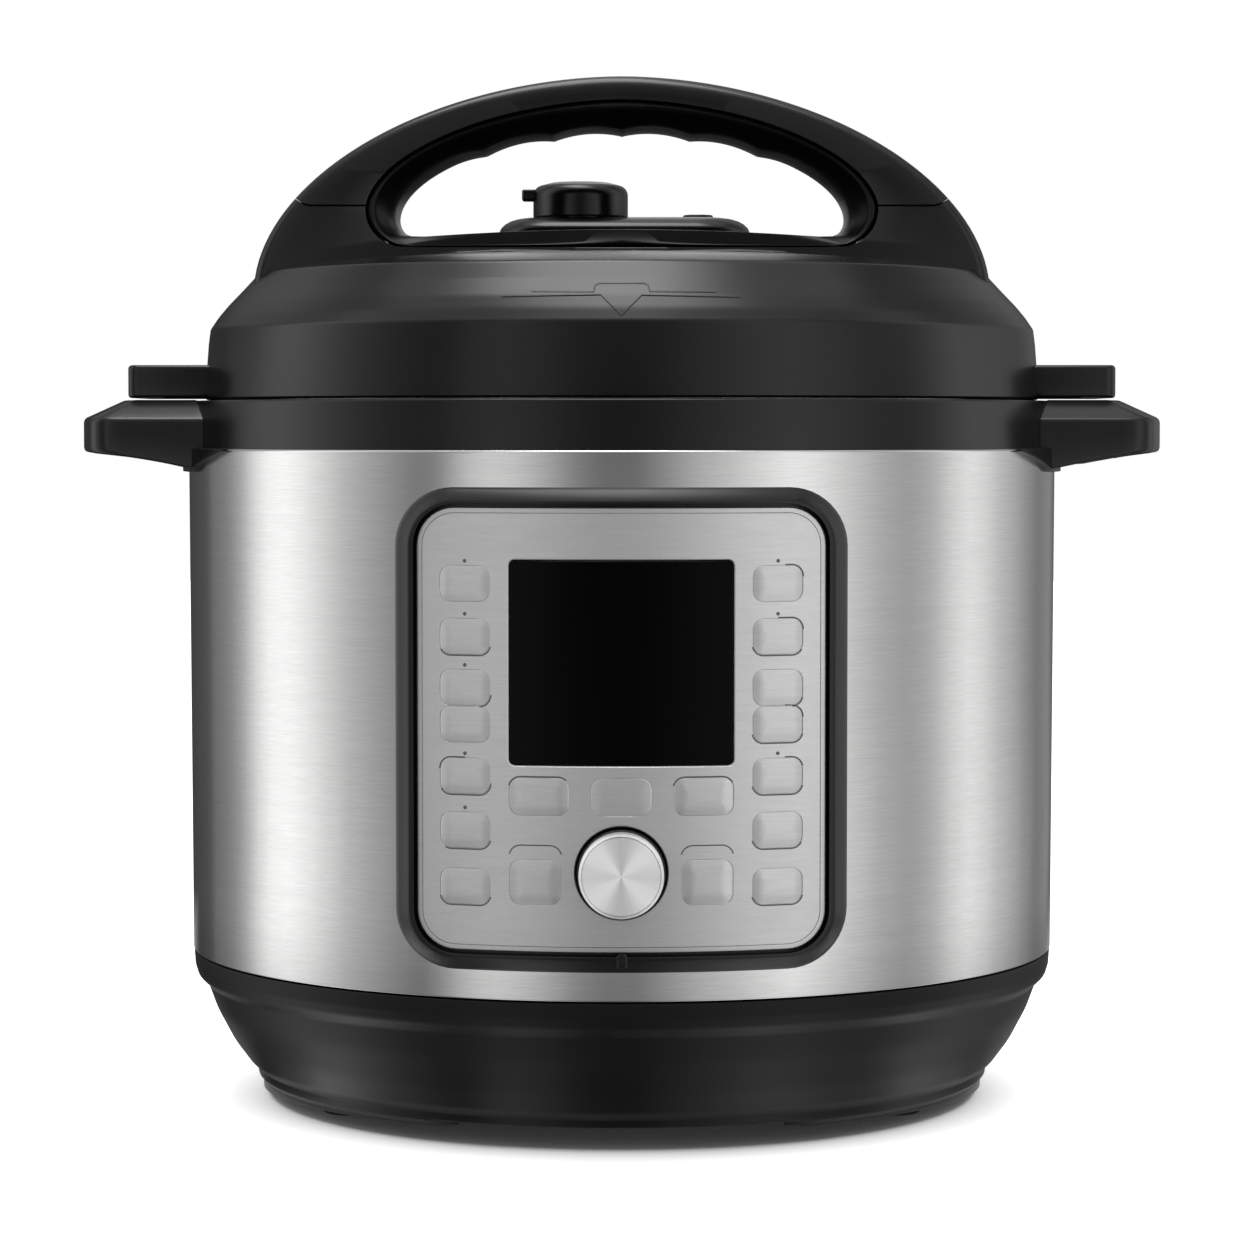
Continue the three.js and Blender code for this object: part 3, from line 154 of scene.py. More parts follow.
lamp("lamp_left", (-1.14, 0.3, 0.5), 0.6, 1.3, 3.5)
lamp("lamp_right", (1.14, 0.3, 0.5), 0.6, 1.3, 2.8)
lamp("lamp_top", (-0.05, -0.04, 1.6), 1.1, 0.65, 7.0, mirrored=True)
lamp("lamp_crown", (-0.13, -0.04, 1.55), 0.8, 0.6, 5.0, mirrored=True, lighting=False)


def studio_sheet(name, corners, faces, grey, gloss):
    """A sheet of the studio, which is no part of the cooker, painted so that it can glow."""
    mesh = bpy.data.meshes.new(name)
    mesh.from_pydata(corners, [], faces)
    made = stand(name, mesh)
    paint = bpy.data.materials.new(name)
    paint.use_nodes = True
    mesh.materials.append(paint)
    shader = paint.node_tree.nodes["Principled BSDF"].inputs
    shader["Base Color"].default_value = (grey, grey, grey, 1)
    shader["Specular IOR Level"].default_value = gloss
    shader["Emission Color"].default_value = (1, 1, 1, 1)
    return made, Nodes(paint), shader


# What a mirror on the table sees around it: the brightness of the studio's curtains at each angle
# from the camera's side, in degrees. The bright folds stand to the left and right of the cooker.
CURTAINS = (
    (-181, 0.02), (-180, 0.02), (-168, 0.05), (-156, 0.07), (-143, 0.1), (-139, 0.13), (-137, 0.22),
    (-131, 0.26), (-124, 0.36), (-117, 0.62), (-111, 1.1), (-105, 1.5), (-98, 1.58), (-92, 1.42),
    (-84, 1.09), (-76, 0.76), (-68, 0.57), (-60, 0.4), (-53, 0.28), (-47, 0.33), (-42, 0.65),
    (-37, 0.87), (-32, 0.93), (-25, 0.78), (-18, 0.53), (-12, 0.3), (-5, 0.18), (4, 0.18), (11, 0.36),
    (19, 0.6), (27, 0.78), (36, 1.05), (44, 1.3), (52, 1.2), (60, 0.92), (70, 0.64), (79, 0.52),
    (88, 0.68), (95, 1.02), (102, 1.24), (109, 1.08), (116, 0.8), (124, 0.62), (132, 0.42), (142, 0.25),
    (156, 0.3), (164, 0.15), (172, 0.04), (180, 0.02), (181, 0.02),
)
# The rows of the curtains, out over the table and then up: distance, level and share of the light.
# Up to the last closed row they go right round, and above it they leave a gap at the back.
ROWS = (
    (0.117, 0.004, 0.9), (0.139, 0.004, 1.2), (0.165, 0.004, 1.1), (0.21, 0.004, 0.7), (0.27, 0.004, 0.5),
    (0.36, 0.004, 0.75), (0.55, 0.004, 1), (1.5, 0.004, 1), (1.5, 0.25, 1), (1.5, 0.45, 1), (1.5, 1.3, 1),
    (1.5, 2.2, 0.6),
)
LAST_CLOSED_ROW = 8
COOKER_RADIUS = 0.136


def curtain_light(angle, fold, distance, level, share):
    """How bright the curtains are at a spot. Their fold sets it, but low down behind the cooker
    they have a grey of their own, and high up they follow the ceiling's light."""
    turned_away = abs(angle)
    if level > 1 and turned_away > 110:
        return (0.6 if turned_away > 150 else 0.75 if angle < 0 else 0.4) / level
    if distance < 0.5 and turned_away > 160:
        fold = 0.5
    elif turned_away > 180:
        fold = 0.15 if distance < 1 else 0.03
    lift = 0.12 if level < 0.1 and distance > 0.3 and turned_away < 50 else 0
    overhead = 0.35 * level if level > 1 and turned_away < 70 else 0
    return max(fold * share + lift, overhead)


corners, faces, shades = [], [], []
for column, (angle, fold) in enumerate(CURTAINS):
    for row, (distance, level, share) in enumerate(ROWS):
        turn = math.radians(angle)
        if abs(angle) <= 180:
            turn -= math.asin(min(COOKER_RADIUS / distance, 1) * math.sin(turn / 2))
        here = len(corners)
        corners.append((distance * math.sin(turn), -distance * math.cos(turn), level))
        shades.append(curtain_light(angle, fold, distance, level, share))
        if row and column and (row <= LAST_CLOSED_ROW or 1 < column < len(CURTAINS) - 1):
            faces.append((here - len(ROWS) - 1, here - 1, here, here - len(ROWS)))
curtains, nodes, shader = studio_sheet("curtains", corners, faces, 0, 0.0)
curtains.data.attributes.new("shade", "FLOAT", "POINT").data.foreach_set("value", shades)
curtains.visible_camera = False
curtains.visible_shadow = False
curtains.visible_diffuse = False
curtains.visible_transmission = False
shade = nodes.add("ShaderNodeAttribute", attribute_name="shade").outputs["Fac"]
nodes.put(shade, shader["Emission Strength"])

table_corners = [(-4, -4, 0), (4, -4, 0), (4, 4, 0), (-4, 4, 0)]
_, nodes, shader = studio_sheet("table", table_corners, [(0, 1, 2, 3)], 0.8, 0.1)
shader["Roughness"].default_value = 0.9
# Painted contact shadow: the table's glow, seen by the camera and in reflections, dims where the cooker hides
# it from the sky.
open_sky = nodes.add("ShaderNodeAmbientOcclusion", samples=16, Distance=0.12).outputs["AO"]
glow = nodes.math("MAXIMUM", nodes.math("POWER", nodes.between(open_sky, 0.19, 0.62, 0.0, 1.0), 0.6), 0.02)
nodes.put(nodes.math("MULTIPLY", nodes.looked_at(), glow), shader["Emission Strength"])

# ---- Base shell -----------------------------------------------------------------------------
# The black bowl under the drum, moulded in one shot with two skirts that hide the feet.
# Its mould is spark eroded, so it has a fine grain, and only its edges shine.

MM = 0.001


def span(node_name):
    """Lowest and highest corner of a CAD node, in millimetres."""
    low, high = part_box(node_name)
    return low / MM, high / MM


def meshed(name, body, mesh=None, sharp=None):
    """An object from a bmesh. Given an angle in degrees, it is smooth, with edges sharp past it."""
    if mesh is None:
        mesh = bpy.data.meshes.new(name)
    body.to_mesh(mesh)
    body.free()
    if sharp:
        mesh.shade_smooth()
        mesh.set_sharp_from_angle(angle=math.radians(sharp))
    return stand(name, mesh)


def shell(name, vertices, faces, sharp=35):
    """A smooth skin from points in millimetres, with its faces turned outwards."""
    mesh = bpy.data.meshes.new(name)
    mesh.from_pydata([tuple(c * MM for c in point) for point in vertices], [], faces)
    body = bmesh.new()
    body.from_mesh(mesh)
    bmesh.ops.remove_doubles(body, verts=body.verts, dist=2e-7)
    bmesh.ops.recalc_face_normals(body, faces=body.faces)
    return meshed(name, body, mesh, sharp)


def rounded(corners, steps=5, hold=0.3):
    """A closed outline from (x, y) or (x, y, radius) corners, with an arc at each radius."""
    outline = []
    for n, corner in enumerate(corners):
        here = Vector(corner[:2])
        if len(corner) < 3:
            outline.append(tuple(here))
            continue
        before = (Vector(corners[n - 1][:2]) - here).normalized()
        after = (Vector(corners[(n + 1) % len(corners)][:2]) - here).normalized()
        half = before.angle(after) / 2
        reach = corner[2] / math.tan(half)
        centre = here + (before + after).normalized() * (corner[2] / math.sin(half))
        start = here + before * reach - centre
        end = here + after * reach - centre
        first = math.atan2(start.y, start.x)
        turn = (math.atan2(end.y, end.x) - first + math.pi) % (2 * math.pi) - math.pi
        outline.append(tuple(here + before * (reach + hold)))
        for step in range(steps + 1):
            angle = first + turn * step / steps
            outline.append((centre.x + corner[2] * math.cos(angle), centre.y + corner[2] * math.sin(angle)))
        outline.append(tuple(here + after * (reach + hold)))
    return outline


def turned(name, outline, sides=160, sharp=35, arc=None, centre=(0, 0)):
    """A body turned about an upright axis from a closed outline of (radius, height) points."""
    start, sweep = arc or (0, 2 * math.pi)
    stops = sides if arc is None else sides + 1
    vertices, rings = [], []
    for radius, height in outline:
        if radius < 1e-6:
            rings.append([len(vertices)] * stops)
            vertices.append((*centre, height))
            continue
        rings.append([len(vertices) + n for n in range(stops)])
        for n in range(stops):
            angle = start + sweep * n / sides
            x, y = centre[0] + radius * math.sin(angle), centre[1] - radius * math.cos(angle)
            vertices.append((x, y, height))
    faces = []
    for low, high in zip(rings, rings[1:] + rings[:1]):
        for n in range(sides):
            after = (n + 1) % stops
            face = list(dict.fromkeys([low[n], low[after], high[after], high[n]]))
            if len(face) > 2:
                faces.append(face)
    if arc is not None:
        faces.append([ring[0] for ring in rings])
        faces.append([ring[-1] for ring in rings])
    return shell(name, vertices, faces, sharp)


def lofted(name, sections, closed=False, sharp=35):
    """A skin through outlines with the same number of points, with flat ends unless it closes."""
    count = len(sections[0])
    vertices = [point for section in sections for point in section]
    faces = []
    for s in range(len(sections) if closed else len(sections) - 1):
        here, there = s * count, (s + 1) % len(sections) * count
        for n in range(count):
            after = (n + 1) % count
            faces.append([here + n, here + after, there + after, there + n])
    if not closed:
        faces.append(list(range(count)))
        faces.append([len(vertices) - count + n for n in range(count)])
    return shell(name, vertices, faces, sharp)


def joined(name, *parts):
    """Several meshes as one object."""
    whole = bmesh.new()
    for part in parts:
        whole.from_mesh(part.data)
        bpy.data.objects.remove(part)
    return meshed(name, whole)


def shader_group(name, inputs, outputs):
    """A shader node group with named number sockets, and its input and output nodes."""
    group = bpy.data.node_groups.new(name, "ShaderNodeTree")
    for label, value in inputs.items():
        socket = group.interface.new_socket(label, in_out="INPUT", socket_type="NodeSocketFloat")
        socket.default_value = value
    for label in outputs:
        group.interface.new_socket(label, in_out="OUTPUT", socket_type="NodeSocketFloat")
    nodes = Nodes(group)
    given = nodes.add("NodeGroupInput").outputs
    result = nodes.add("NodeGroupOutput").inputs
    return group, nodes, given, result


# Moulded grain: a height for the bump, and a slow cloud that varies the gloss.
grain_group, nodes, given, result = shader_group("moulded_grain", {"Scale": 1500.0}, ["Height", "Cloud"])
nodes.put(nodes.noise(given["Scale"], 2.0), result["Height"])
nodes.put(nodes.noise(18.0, 3.0), result["Cloud"])

# Edges made lighter: a mask, high on outer edges, broken up by a noise, and zero elsewhere.
edge_lightening_group, nodes, given, result = shader_group("edge_lightening", {"Reach": 0.06}, ["Mask"])
point = nodes.add("ShaderNodeNewGeometry").outputs["Pointiness"]
edge = nodes.between(point, 0.5, nodes.math("ADD", 0.5, given["Reach"]), 0.0, 1.0)
nodes.put(nodes.math("MULTIPLY", edge, nodes.noise(90.0, 3.0)), result["Mask"])


def bare(name, colour, roughness, **sockets):
    """A material, its node helper and its Principled shader's sockets."""
    made = bpy.data.materials.new(name)
    made.use_nodes = True
    shader = made.node_tree.nodes["Principled BSDF"].inputs
    shader["Base Color"].default_value = (*colour, 1)
    shader["Roughness"].default_value = roughness
    for socket, value in sockets.items():
        shader[socket.replace("_", " ")].default_value = value
    return made, Nodes(made), shader


def moulded(name, colour, roughness, edge_lift=0.008, grain=0.15, **sockets):
    """Moulded plastic or rubber: grain in its bump, a cloudy gloss and a slightly lighter colour on its
    edges.
    """
    made, nodes, shader = bare(name, colour, roughness, **sockets)
    surface = nodes.add("ShaderNodeGroup", node_tree=grain_group).outputs
    lighter_edges = nodes.add("ShaderNodeGroup", node_tree=edge_lightening_group).outputs["Mask"]
    cloudy = nodes.between(surface["Cloud"], 0.3, 0.7, roughness - 0.04, roughness + 0.04)
    nodes.put(cloudy, shader["Roughness"])
    nodes.put(nodes.two_tones(lighter_edges, colour, [c + edge_lift for c in colour]), shader["Base Color"])
    nodes.put(nodes.bump(surface["Height"], grain, 0.0001), shader["Normal"])
    return made


def dress(piece, material, body, *replaced, slot=None):
    """Gives a piece its material, the body it rides on and the CAD nodes it stands for.
    Its slot argument is not used."""
    piece.data.materials.clear()
    piece.data.materials.append(material)
    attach(piece, body)
    if replaced:
        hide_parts(*replaced)


black_plastic = moulded("black_plastic", (0.0018, 0.0018, 0.0019), 0.25, Specular_IOR_Level=0.35)
bowl_plastic = moulded("bowl_plastic", (0.005, 0.005, 0.0051), 0.42, Specular_IOR_Level=0.19)

base_low, base_high = span("base_shell")
drum_low, drum_high = span("outer_drum")
BAND = 135.2
SEAM = drum_low.z - 0.3
SKIRT = 113.6
SKIRT_GAP = 49.0
SKIRT_FOOT = base_low.z

bowl = turned("bowl", rounded([
    (0, 8.4), (109, 8.8), (112.6, 7.3), (115.2, 7.5, 0.6), (115.5, 9.8, 1.0), (118.2, 12.3, 10),
    (123.1, 18.9, 30), (128.2, 28.6, 30), (131.0, 36.3, 2.6), (134.0, 39.2, 3), (134.9, 42.2, 4),
    (BAND, SEAM - 0.2, 0.5), (BAND - 1.8, SEAM - 0.2, 0.3), (BAND - 1.8, base_high.z),
    (BAND - 4.6, base_high.z), (BAND - 4.6, 40), (126, 33), (117, 15), (110, 11.4), (0, 11.4),
]), sides=192)


def swung(radius, angle, level):
    """A point at a distance from the upright axis, swung round it from the front."""
    return (radius * math.sin(angle), -radius * math.cos(angle), level)


def skirt(name, facing):
    """One skirt: a wall hung under the bowl, with its ends drawn in to a round."""
    half = math.pi / 2 - math.asin(SKIRT_GAP / SKIRT)
    sections = []
    for stop in range(65):
        along = stop / 64
        angle = facing * math.pi / 2 + half * (2 * along - 1)
        from_end = min(min(along, 1 - along) * 2 * half * SKIRT / 9, 1)
        draw = 1 - math.sqrt(1 - (1 - from_end) ** 2)
        sole = SKIRT_FOOT + 3.8 * (1 - 4 * (min(along, 1 - along)) ** 2) + 1.6 * draw
        outer = SKIRT - 3.2 * draw
        inner = SKIRT - 6.6 + 2.4 * draw
        outline = rounded([
            (inner, 9), (inner, sole, 0.4), (outer, sole, 0.6), (outer + 0.1, 5.8),
            (outer + 1.6, 7.4, 0.4), (outer + 1.6, 9),
        ])
        sections.append([swung(r, angle, z) for r, z in outline])
    return lofted(name, sections)


dress(
    joined("base_shell_skin", bowl, skirt("skirt_left", -1), skirt("skirt_right", 1)),
    bowl_plastic, "base", "base_shell", slot="black_plastic",
)

# ---- Feet -----------------------------------------------------------------------------------
# Four soft rubber pads, pushed through the floor of the base by a stem, so that the cooker
# neither slides nor marks the worktop.

foot_rubber = moulded("foot_rubber", (0.012, 0.012, 0.012), 0.75, edge_lift=0.03, grain=0.3)

for foot in ("front_left", "rear_left", "front_right", "rear_right"):
    low, high = span(f"foot_{foot}")
    middle = (low + high) / 2
    radius = (high.x - low.x) / 2
    pad = turned(f"foot_{foot}_pad", rounded([
        (0, 0.5), (radius - 3.2, 0.5, 0.3), (radius - 2.6, 0, 0.3), (radius, 0, 1.1),
        (radius, 7.6, 0.6), (3, 7.8), (3, high.z, 0.6), (0, high.z),
    ]), sides=40, centre=(middle.x, middle.y))
    dress(pad, foot_rubber, "base", f"foot_{foot}")

# ---- Drum -----------------------------------------------------------------------------------
# The outer wall is one sheet of stainless steel, rolled to a cylinder with a slight taper and
# brushed round its girth. It is open behind the control panel and at the power inlet.

PANEL_MIDDLE = 124.6

# Brushing: streaks that are long one way and fine the other, as a mask and as a height.
brush_group, nodes, given, result = shader_group(
    "brushing", {"Along X": 10.0, "Along Y": 10.0, "Along Z": 2400.0}, ["Streaks", "Height"]
)
place = nodes.add("ShaderNodeTexCoord").outputs["Object"]
lengths = nodes.add("ShaderNodeCombineXYZ", given["Along X"], given["Along Y"], given["Along Z"]).outputs[0]
combed = nodes.add("ShaderNodeVectorMath", place, lengths, operation="MULTIPLY").outputs[0]
fine = nodes.noise(1.0, 5.0, combed, Roughness=0.7)
wide = nodes.noise(0.13, 2.0, combed)
shares = [nodes.math("MULTIPLY", fine, 0.8), nodes.math("MULTIPLY", wide, 0.2)]
nodes.put(nodes.math("ADD", *shares), result["Streaks"])
nodes.put(fine, result["Height"])


def brushed(name, colour, roughness, relief, tone, spread=0.08, along=10.0, across=2400.0):
    """Brushed metal: streaks in its colour, gloss and bump, long round it and fine up it."""
    made, nodes, shader = bare(name, colour, roughness, Metallic=1.0)
    group = nodes.add("ShaderNodeGroup", node_tree=brush_group)
    for socket, value in (("Along X", along), ("Along Y", along), ("Along Z", across)):
        group.inputs[socket].default_value = value
    streaks = group.outputs["Streaks"]
    mask = nodes.between(streaks, 0.35, 0.65, 0.0, 1.0)
    tones = nodes.two_tones(mask, [c - tone for c in colour], [c + tone for c in colour])
    nodes.put(tones, shader["Base Color"])
    nodes.put(nodes.between(streaks, 0.35, 0.65, roughness + spread, roughness - spread), shader["Roughness"])
    nodes.put(nodes.bump(group.outputs["Height"], relief, 0.00005), shader["Normal"])
    return made


def carve(piece, *cutters):
    """Cuts closed shapes out of a piece for good."""
    for cutter in cutters:
        change = piece.modifiers.new("cut", "BOOLEAN")
        change.operation = "DIFFERENCE"
        change.object = cutter
    bpy.context.view_layer.update()
    whole = bpy.data.meshes.new_from_object(piece.evaluated_get(bpy.context.evaluated_depsgraph_get()))
    piece.modifiers.clear()
    piece.data = whole
    whole.shade_smooth()
    whole.set_sharp_from_angle(angle=math.radians(35))
    for cutter in cutters:
        bpy.data.objects.remove(cutter)


def plate_outline(width, height, corner, inset=0.0, steps=6, spacing=None):
    """A rounded rectangle about the origin, drawn in by an inset, with as many points each time.
    Given a spacing, its straight sides have points too."""
    half_width = width / 2 - inset
    half_height = height / 2 - inset
    radius = max(corner - inset, 0.05)

    def on_corner(quarter, share):
        sx, sy = ((1, 1), (-1, 1), (-1, -1), (1, -1))[quarter]
        angle = (quarter + share) * math.pi / 2
        return (
            sx * (half_width - radius) + radius * math.cos(angle),
            sy * (half_height - radius) + radius * math.sin(angle),
        )

    points = []
    for quarter in range(4):
        points += [on_corner(quarter, step / steps) for step in range(steps + 1)]
        if spacing:
            length = (height if quarter % 2 else width) - 2 * corner
            count = max(int(length / spacing), 1)
            start, end = Vector(points[-1]), Vector(on_corner((quarter + 1) % 4, 0))
            points += [tuple(start.lerp(end, n / count)) for n in range(1, count)]
    return points


def slab(name, centre, size, corner, low, high, edge=0.5, along="z", top_edge=None):
    """A block with a rounded plan and rounded rims, upright or lying along Y."""
    rim = edge if top_edge is None else top_edge
    angles = (0, 0.52, 1.05, math.pi / 2)
    levels = [(edge * (1 - math.sin(a)), low + edge * (1 - math.cos(a))) for a in angles]
    levels += [(rim * (1 - math.cos(a)), high - rim * (1 - math.sin(a))) for a in angles]
    sections = []
    for inset, level in levels:
        plan = [(centre[0] + u, centre[1] + v) for u, v in plate_outline(*size, corner, inset)]
        sections.append([(u, v, level) if along == "z" else (u, level, v) for u, v in plan])
    return lofted(name, sections)


drum_steel = brushed("drum_steel", (0.6, 0.597, 0.594), 0.14, 0.003, 0.036, spread=0.02, along=110.0)

DRUM = 136.0
TAPER = 0.65
WALL = 1.2
drum_wall = turned("drum_skin", rounded([
    (-drum_low.x - TAPER - WALL, drum_low.z), (DRUM - TAPER, drum_low.z, 0.3),
    (DRUM, drum_high.z, 1.0), (DRUM - WALL - 0.3, drum_high.z, 0.1),
    (DRUM - WALL - 0.3, drum_high.z - 0.3, 0.1), (DRUM - WALL, drum_high.z - 0.9, 0.3),
], steps=6, hold=0.15), sides=256)
carve(
    drum_wall,
    slab("panel_opening", (0, PANEL_MIDDLE), (122, 131), 13.8, -150, -60, along="y"),
    slab("inlet_opening", (0, 72), (36, 26), 2, 60, 150, along="y"),
)
dress(drum_wall, drum_steel, "base", "outer_drum")

# ---- Collar ---------------------------------------------------------------------------------
# A black plastic ring, clipped into the drum's mouth. The lid turns on it, and it carries the
# locking ring and the outer pot.


def spun(node_name, material, body, sides, corners, steps=5, centre=(0, 0)):
    """A turned piece that stands for one CAD node."""
    skin = turned(node_name + "_skin", rounded(corners, steps), sides, centre=centre)
    dress(skin, material, body, node_name)


collar_low, collar_high = span("collar")
COLLAR = collar_high.x
spun("collar", black_plastic, "base", 192, [
    (COLLAR, collar_low.z, 0.4), (COLLAR, drum_high.z + 0.3), (COLLAR + 0.05, drum_high.z + 1.0),
    (COLLAR, collar_high.z, 0.8), (128.2, collar_high.z, 0.8), (128.2, 206.4), (119.0, 206.4),
    (119.0, 203.5), (115.2, 203.5), (115.2, 200.5), (131.4, 200.5), (131.4, collar_low.z),
])

# ---- Body handles ---------------------------------------------------------------------------
# Two hollow black handles, screwed to the collar from inside. Each has a sloped top, a slot
# that takes the lid's fin when the lid is put down to rest, and a pad against the drum.

HANDLE_ROOT = 134.5


def side_handle(name, facing):
    """A handle on the right (facing 1) or the left (facing -1), with its pad."""
    low, high = span(name)
    end = max(abs(low.x), abs(high.x))
    half = 42
    root_level, end_level, top = drum_high.z - 7.4, drum_high.z - 1.4, high.z + 0.7

    def plan(inset, level, follow=False):
        """The handle from above, drawn in by an inset; its underside may follow the slope."""
        width = half - inset
        radius = max(7.5 - inset, 1.2)
        tip = end - 6.4 - inset - radius
        points = []
        reach = math.asin(width / HANDLE_ROOT)
        root = HANDLE_ROOT * math.cos(reach)
        for n in range(13):
            angle = reach * (1 - n / 6)
            points.append((HANDLE_ROOT * math.cos(angle), HANDLE_ROOT * math.sin(angle)))
        for n in range(1, 9):
            points.append((root + (tip - root) * n / 9, -width))
        for n in range(9):
            angle = n / 8 * math.pi / 2
            points.append((tip + radius * math.sin(angle), -width + radius * (1 - math.cos(angle))))
        for n in range(1, 12):
            v = (-width + radius) * (1 - n / 6)
            bulge = 5.4 * (1 - (v / (width - radius)) ** 2)
            points.append((tip + radius + bulge, v))
        for n in range(9):
            angle = (1 - n / 8) * math.pi / 2
            points.append((tip + radius * math.sin(angle), width - radius * (1 - math.cos(angle))))
        for n in range(1, 9):
            points.append((tip + (root - tip) * n / 9, width))
        out = []
        for x, y in points:
            along = min(max((x - 128) / (end - 128), 0), 1)
            under = root_level + (end_level - root_level) * (1 - (1 - along) ** 1.8)
            out.append((facing * x, facing * y, level + under if follow else level))
        return out

    sole = ((1.6, 0.0), (0.8, 0.15), (0.25, 0.6), (0, 1.5))
    body = lofted(name + "_body", [
        *(plan(inset, rise, follow=True) for inset, rise in sole),
        plan(0, top - 7.0), plan(0.25, top - 6.1), plan(0.9, top - 5.45),
        plan(11.4, top - 0.55), plan(12.4, top - 0.12), plan(13.6, top),
    ])
    carve(body, slab("slot", (facing * 147.75, 0), (11.5, 54), 3, 180, 230))
    lip = drum_high.z - 0.3
    flange = []
    for n in range(41):
        off = 30 * (n / 20 - 1)
        turn = facing * math.pi / 2 + math.radians(off)
        rise = min(max((abs(off) - 17.5) / 12.5, 0), 1)
        foot = root_level + (drum_high.z - 0.9 - root_level) * rise ** 0.8
        outline = rounded([
            (DRUM, foot, 0.1), (137.9, foot, 0.25), (137.9, lip, 0.2), (DRUM, lip, 0.1),
        ], hold=0.02)
        flange.append([swung(r, turn, z) for r, z in outline])
    pad = lofted(name + "_pad", flange)
    dress(joined(name + "_skin", body, pad), black_plastic, "base", name)


side_handle("right_handle", 1)
side_handle("left_handle", -1)

# ---- Outer pot, heating plate and locking ring ----------------------------------------------
# The outer pot is spun aluminium and holds the cast heating plate. The locking ring above it
# is pressed steel with six lugs that keep the lid down.

aluminium = brushed("bare_aluminium", (0.66, 0.66, 0.655), 0.38, 0.05, 0.03, along=60.0, across=900.0)
inner_steel = brushed("inner_steel", (0.62, 0.615, 0.6), 0.2, 0.05, 0.03)

pot_low, pot_high = span("outer_pot")
spun("outer_pot", aluminium, "base", 144, [
    (6, pot_low.z), (113.7, pot_low.z, 6), (113.7, pot_high.z - 1.2, 0.6),
    (pot_high.x, pot_high.z - 1.2, 0.4), (pot_high.x, pot_high.z, 0.4), (112.5, pot_high.z, 1.2),
    (112.5, pot_low.z + 1.2, 5), (6, pot_low.z + 1.2),
])

heat_low, heat_high = span("heating_plate")
spun("heating_plate", aluminium, "base", 144, [
    (14, heat_low.z, 0.5), (heat_high.x - 6, heat_low.z, 2), (heat_high.x, heat_low.z + 7, 2),
    (heat_high.x, heat_high.z - 0.6, 1), (heat_high.x - 3, heat_high.z, 1.5),
    (62, heat_high.z, 0.3), (61, heat_high.z - 0.5, 0.3), (58, heat_high.z - 0.5, 0.3),
    (57, heat_high.z, 0.3), (14, heat_high.z, 0.8),
])


def lugs(name, outline, count, first, arc):
    """Like lugs round a ring, each turned through a short arc."""
    parts = []
    for n in range(count):
        middle = math.radians(first + n * 360 / count)
        ends = (middle - math.radians(arc / 2), math.radians(arc))
        parts.append(turned(f"{name}_{n}", outline, sides=10, arc=ends))
    return parts


ring_low, ring_high = span("locking_ring")
band = turned("ring_band", rounded([
    (ring_high.x - 1.5, ring_low.z, 0.3), (ring_high.x, ring_low.z, 0.3),
    (ring_high.x, ring_high.z, 0.5), (ring_high.x - 1.5, ring_high.z, 0.3),
]), sides=144)
ring_lugs = lugs("ring_lug", rounded([
    (ring_high.x - 6.5, ring_high.z - 2.6, 0.5), (ring_high.x - 1, ring_high.z - 2.6),
    (ring_high.x - 1, ring_high.z), (ring_high.x - 6.5, ring_high.z, 0.8),
]), 6, 0, 24)
dress(joined("locking_ring_skin", band, *ring_lugs), inner_steel, "base", "locking_ring")

# ---- Temperature sensor ---------------------------------------------------------------------
# A round aluminium cap in the middle of the heating plate, held up against the pot's floor by
# a coil spring. The pressure switch stands beside it under the outer pot.

cap_low, cap_high = span("sensor_cap")
spun("sensor_cap", aluminium, "sensor", 64, [
    (0, cap_low.z), (cap_high.x, cap_low.z, 0.5), (cap_high.x, cap_high.z, 1.4),
    (4, cap_high.z, 0.2), (3.6, cap_high.z - 0.4, 0.2), (0, cap_high.z - 0.4),
])


def coat(material, *node_names):
    """Puts a finish on CAD nodes whose shape is right as it is."""
    for node_name in node_names:
        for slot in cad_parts[node_name].material_slots:
            slot.material = material


coil = []
for n in range(145):
    turn = 2 * math.pi * n / 24
    level = 35.0 + 9.75 * n / 144
    ring = []
    for m in range(8):
        around = 2 * math.pi * m / 8
        radius = 9.05 + 0.6 * math.cos(around)
        ring.append((radius * math.cos(turn), radius * math.sin(turn), level + 0.6 * math.sin(around)))
    coil.append(ring)
spring = lofted("sensor_spring_skin", coil, sharp=60)
dress(spring, inner_steel, "base", "sensor_spring")
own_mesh(spring)

# ---- Inner pot ------------------------------------------------------------------------------
# A stainless steel pot with a rolled rim, which lifts out. Its inside is brushed round and
# round, and its floor is clad.

low, high = span("inner_pot")
rim = high.x
spun("inner_pot", inner_steel, "pot", 192, [
    (0, low.z + 0.6), (92, low.z, 2), (110, low.z, 12), (110, high.z - 2.5, 0.8),
    (rim, high.z - 2.5, 1.1), (rim, high.z, 1.2), (108.8, high.z, 1.4), (108.8, low.z + 1.2, 11),
    (0, low.z + 1.2),
], steps=6)

# ---- Lid liner, sealing ring and rack -------------------------------------------------------
# The lid's steel liner is pressed with six lugs round its skirt. A white silicone ring, held
# by a wire-thin rack, seals it against the pot's rim.

silicone = moulded("white_silicone", (0.74, 0.73, 0.7), 0.5, edge_lift=0.02, grain=0.05, Subsurface_Weight=0.15)
silicone.node_tree.nodes["Principled BSDF"].inputs["Subsurface Radius"].default_value = (0.004, 0.003, 0.002)

